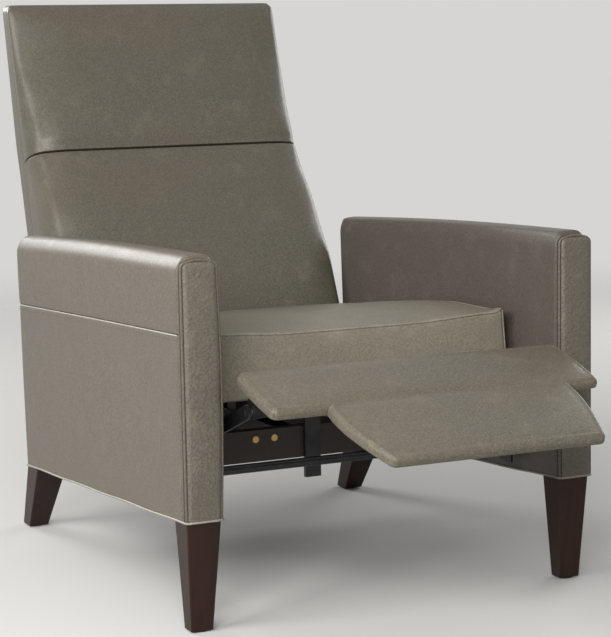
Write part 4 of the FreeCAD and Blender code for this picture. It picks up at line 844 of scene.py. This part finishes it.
pillow = {
    "name": "headrest", "node": "headrest", "fill": 0.85, "low": back["seam"] + back["gap"], "high": back["top"],
    "radii": ((22, 22), (55, 1.0), (2, 16)), "steps": (16, 16, 15), "lowLines": (4, 8, 13, 20, 28),
    "held": (12, 0, 80, 6, 0), "puff": 22, "puffAcross": (4, 0.6), "puffUp": (0, 80), "puffFade": 0.8,
    "dip": 9, "dipWidth": 20, "drop": (0, 0.6), "pleat": 0.9, "pleats": 10, "pleatFade": (12, 34),
    "face": [(742, 986), (777, 1007), (811, 1031), (845, 1048), (879, 1064), (913, 1082), (948, 1096),
             (982, 1107), (1017, 1117), (1037, 1130)],
}
shell = {
    "low": 330.0, "deep": 50.0, "radii": ((12, 12), (1.0, 14), (3, 16)), "steps": (22, 12, 20),
    "lines": ((), (), (58, 62, 66, 70, 74)), "lowHalf": 285.2, "narrow": (390, 8), "puff": 4,
    "puffAcross": (2, 0.6), "puffUp": 0.4, "ahead": 2, "tuck": 0.9, "tuckFade": (1, 4),
}
# depths by height: the rear of the pillows and the outside of the shell
padLine = [(330, 916), (742, 1066), (1037, 1146)]
shellLine = [(330, 971), (742, 1123), (1037, 1185)]


def backWide(x, height):
    top, low, right = back["wider"]
    low += right if x > 0 else 0
    wider = top + low * ramp(back["seam"] - height, *back["widerLow"])
    return x * (1 + wider / back["half"] * ramp(height, *back["widerFoot"]))


def makePillow(form, lines, shape):
    # One of the two pillows. shape(x, z, share) gives how far its face lies back, how near the seam is, from 0 to 1,
    # and the depth of its pleats.
    low, high = form["low"], form["high"]
    size = (back["half"] - back["inset"], back["pillowDepth"], high - low)

    def place(x, y, z):
        height, rearShare = low + z, y / back["pillowDepth"]
        front = 1 - rearShare
        inwards, nearness, pleat = shape(x, z, clamp(z / (high - low)))
        roll = edgeRoll((back["half"] - abs(x)) / back["edge"])
        face = along(form["face"], height)
        fall = min(back["edgeDepth"], back["edgeShare"] * (along(padLine, height) - face)) * roll
        face += front * inwards + fall
        drop = (back["sideDrop"] * (1 - front) + back["seamFall"] * roll * front) * nearness
        rear = along(padLine, height - drop) - back["gap"]
        return spot(backWide(x, height), mix(face + pleat, rear, rearShare), height - drop)

    edges = mirrored([back["half"] - step for step in back["edgeLines"]])
    makeSoft(form["name"], size, {**back, **form, "lines": (edges, (), lines)}, place, backLeather, "back_rest",
             form["node"], fill=form["fill"])


def makeBack():
    half = back["half"] - back["inset"]
    lumbarTall, pillowTall = lumbar["high"] - lumbar["low"], pillow["high"] - pillow["low"]

    def lumbarShape(x, z, share):
        puff = lumbar["puff"] * dome(x / half, *lumbar["puffAcross"]) * hump(share, lumbar["puffUp"])
        dip = lumbar["dip"] * math.exp(-((lumbarTall - z) / lumbar["dipWidth"]) ** 2)
        return dip - puff, ramp(share, *lumbar["drop"]), 0.0

    def pillowShape(x, z, share):
        rise = ramp(z, *pillow["puffUp"]) * (1 - share) ** pillow["puffFade"]
        puff = pillow["puff"] * dome(x / half, *pillow["puffAcross"]) * rise
        dip = pillow["dip"] * math.exp(-(z / pillow["dipWidth"]) ** 2)
        away, down = half - abs(x), pillowTall - z
        pleat = pillow["pleat"] * math.sin(pillow["pleats"] * math.atan2(down, away))
        pleat *= 1 - ramp(math.hypot(away, down), *pillow["pleatFade"])
        return dip - puff, 1 - ramp(share, *pillow["drop"]), pleat

    makePillow(lumbar, [lumbarTall - step for step in lumbar["topLines"]], lumbarShape)
    makePillow(pillow, pillow["lowLines"], pillowShape)


def makeShell():
    half, deep, high = back["half"] - back["inset"], shell["deep"], back["top"] - shell["low"]

    def place(x, y, z):
        height, share = shell["low"] + z, z / high
        narrow = mix(shell["lowHalf"] / half, 1, ramp(height, *shell["narrow"]))
        puff = shell["puff"] * dome(x / half, *shell["puffAcross"]) * hump(share, shell["puffUp"]) * smooth(y / deep)
        start, end = (along(line, min(height, back["top"])) for line in (padLine, shellLine))
        tuck = 1 - shell["tuck"] / half * (1 - ramp(y, *shell["tuckFade"]))
        return spot(backWide(x, height) * narrow * tuck,
                    mix(start - shell["ahead"], end + puff - shell["ahead"], y / deep), height)

    makeSoft("outsideBack", (half, deep, high), shell, place, backLeather, "back_rest",
             "back_shell", "back_board", fill=0.9)


makeBack()
makeShell()
print("back made")


# footrest panel and tongue

footrest = {
    "rear": (-13.3, 431.5), "angle": 195.7, "halves": (298, 298), "length": 150, "thick": 22, "round": 12, "roll": 34,
    "sink": 7, "bow": 3.0, "puff": 6.0, "rise": (3.0, 1.0), "held": (8, 7, 7, 12, 0), "pressure": 1.6, "cap": 3,
}
tongue = {
    "angle": 199.3, "halves": (215, 187), "length": 179, "thick": 18, "round": 10, "roll": 32, "sink": 6,
    "bow": 11.0, "puff": 4.5, "rise": (7.0, 3.5), "behind": 9.8, "drop": 44.8, "along": 155.0, "down": 36.0,
    "held": (8, 7, 7, 12, 0), "pressure": 1.6, "cap": 3,
}
# what both pads share, and the folds down their corners, dark tubes of painted shade in the creases: from and to
# which angle, and how far in and down
pad = {
    "lowRound": 4, "steps": (13, 10, 3), "edgeShares": (0.42, 0.56, 0.72, 1.0), "bowShift": 0.8,
    "flatness": 4, "cornerPower": 4, "puffUp": (0.6, 0.4), "riseUp": (0, 0.8), "sinkUp": (0.2, 0.8),
    "foldAngles": (62, -80), "foldCuts": 8, "foldIn": 0.70, "foldOut": 0.1, "foldSink": 0.72, "foldDown": 0.62,
    "foldEdge": 1, "foldRadius": 0.6,
}


def turned(start, angle, reach):
    return (start[0] + reach * math.cos(math.radians(angle)), start[1] + reach * math.sin(math.radians(angle)))


def panelPlace(alongPanel, down):
    return turned(turned(footrest["rear"], footrest["angle"], alongPanel), footrest["angle"] + 90, down)


def panelSpot(x, alongPanel, down):
    return spot(x, *panelPlace(alongPanel, down))


def tongueSpot(x, alongTongue, down):
    start = turned(panelPlace(tongue["along"], tongue["down"]), tongue["angle"], alongTongue + tongue["behind"])
    return spot(x, *turned(start, tongue["angle"] + 90, down - tongue["drop"]))


def makePad(name, size, at, body, node):
    length, thick, turn, reach = size["length"], size["thick"], size["round"], size["roll"]
    halves, wide = size["halves"], max(size["halves"])
    steps = [reach * share for share in pad["edgeShares"]]
    form = {**size, "radii": ((turn, turn), (turn, turn), (pad["lowRound"], turn)), "steps": pad["steps"],
            "lines": (mirrored([wide - step for step in steps]), steps + [length - step for step in steps], ())}

    def place(x, y, z):
        far, up, flat, power = y / length, z / thick, pad["flatness"], pad["cornerPower"]
        half = mix(*halves, far) + size["bow"] * math.sin(math.pi * clamp(far) ** pad["bowShift"])
        puff = size["puff"] * dome(x / wide, flat) * dome(2 * y / length - 1, flat) * ramp(up, *pad["puffUp"])
        puff += mix(*size["rise"], far) * ramp(up, *pad["riseUp"])
        sideRoll, endRoll = edgeRoll((wide - abs(x)) / reach), edgeRoll(min(y, length - y) / reach)
        fall = size["sink"] * (sideRoll ** power + endRoll ** power) ** (1 / power) * ramp(up, *pad["sinkUp"])
        return at(x * half / wide, y, thick - z - puff + fall)

    makeSoft(name, (wide, length, thick), form, place, footLeather, body, node, fill=0.7)
    for side, sideName in sideNames.items():
        for end, way, half, rise, endName in ((0, -1, halves[0], size["rise"][0], "Rear"),
                                              (length, 1, halves[1], size["rise"][1], "Front")):
            fold = []
            for share in spread(0, 1, pad["foldCuts"]):
                angle = math.radians(mix(*pad["foldAngles"], share))
                out = turn * (math.cos(angle) * pad["foldIn"] - 1) + pad["foldOut"]
                down = size["sink"] * pad["foldSink"] + turn * (1 - math.sin(angle)) * pad["foldDown"]
                down -= rise * (1 - share)
                fold.append(at(side * (half + out), end + way * out, min(down, thick - pad["foldEdge"])))
            makeTube(f"{name}Fold.{sideName}{endName}", fold, pad["foldRadius"], paintedSeamShade, body)


makePad("footrestPad", footrest, panelSpot, "footrest_panel", "footrest_pad")
makePad("tonguePad", tongue, tongueSpot, "tongue", "tongue_pad")
print("footrest made")


# floor, light and background, in metres

studio = {"floor": colour(228, 227, 224), "bounce": colour(140, 139, 137), "beyond": colour(214, 213, 211),
          "world": 0.28, "floorRadius": 14, "floorEdges": 96, "floorRoughness": 0.9, "floorFade": (1.4, 5.5, 1, 0)}
lamps = (  # name, place, aim, size and power
    ("keyLamp", (-1.9, -3.0, 1.9), (0, -0.2, 0.45), (1.6, 1.6), 93),
    ("sideLamp", (-3.0, -0.8, 1.95), (0, 0.3, 0.9), (2.0, 1.4), 66),
    ("behindLamp", (-1.3, 3.6, 2.0), (0, -0.1, 0.55), (1.6, 1.0), 46),
    ("rightLamp", (3.3, 1.6, 1.4), (0, 0.1, 0.5), (2.2, 1.6), 34),
    ("fillLamp", (2.8, -2.6, 1.8), (0, 0, 0.5), (2.4, 2.4), 5),
)


def seenRays(tree):
    # 1 where the camera, a reflection or a clear material looks at the background
    rays = tree.nodes.new("ShaderNodeLightPath").outputs
    return mathNode(tree, "MAXIMUM", mathNode(tree, "MAXIMUM", rays["Is Camera Ray"], rays["Is Glossy Ray"]),
                    rays["Is Transmission Ray"])


def makeFloor():
    # it fades out with distance, and the light that it throws back is dimmer than it looks
    bpy.ops.mesh.primitive_circle_add(vertices=studio["floorEdges"], radius=studio["floorRadius"],
                                      fill_type="NGON", location=(0, 0, 0))
    floor = bpy.context.object
    floor.name = "floor"
    paint = bpy.data.materials.new("floorPaint")
    paint.use_nodes = True
    tree = paint.node_tree
    shader = tree.nodes["Principled BSDF"].inputs
    seen = seenRays(tree)
    tree.links.new(tint(tree, seen, studio["bounce"], studio["floor"]), shader["Base Color"])
    shader["Roughness"].default_value = studio["floorRoughness"]
    place = tree.nodes.new("ShaderNodeTexCoord").outputs["Object"]
    away = addNode(tree, "ShaderNodeVectorMath", {0: place}, operation="LENGTH").outputs["Value"]
    near = remap(tree, away, *studio["floorFade"], interpolation_type="SMOOTHSTEP")
    tree.links.new(mathNode(tree, "MAXIMUM", near, mathNode(tree, "SUBTRACT", 1.0, seen)), shader["Alpha"])
    floor.data.materials.append(paint)


def makeWorld():
    world = bpy.data.worlds.new("studio")
    bpy.context.scene.world = world
    world.use_nodes = True
    tree = world.node_tree
    tree.nodes.clear()
    seen = addNode(tree, "ShaderNodeBackground", {"Color": studio["beyond"]}).outputs[0]
    lit = addNode(tree, "ShaderNodeBackground", {"Strength": studio["world"]}).outputs[0]
    blend = addNode(tree, "ShaderNodeMixShader", {"Fac": seenRays(tree), 1: lit, 2: seen})
    addNode(tree, "ShaderNodeOutputWorld", {"Surface": blend.outputs[0]})


def makeLamps():
    for name, place, aim, size, power in lamps:
        data = bpy.data.lights.new(name, "AREA")
        data.shape = "RECTANGLE"
        data.size, data.size_y = size
        data.energy = power
        lamp = addObject(name, data)
        lamp.location = place
        lamp.rotation_euler = (Vector(aim) - Vector(place)).to_track_quat("-Z", "Y").to_euler()


bpy.context.scene.view_settings.view_transform = "Standard"
makeFloor()
makeWorld()
makeLamps()
print("studio made")
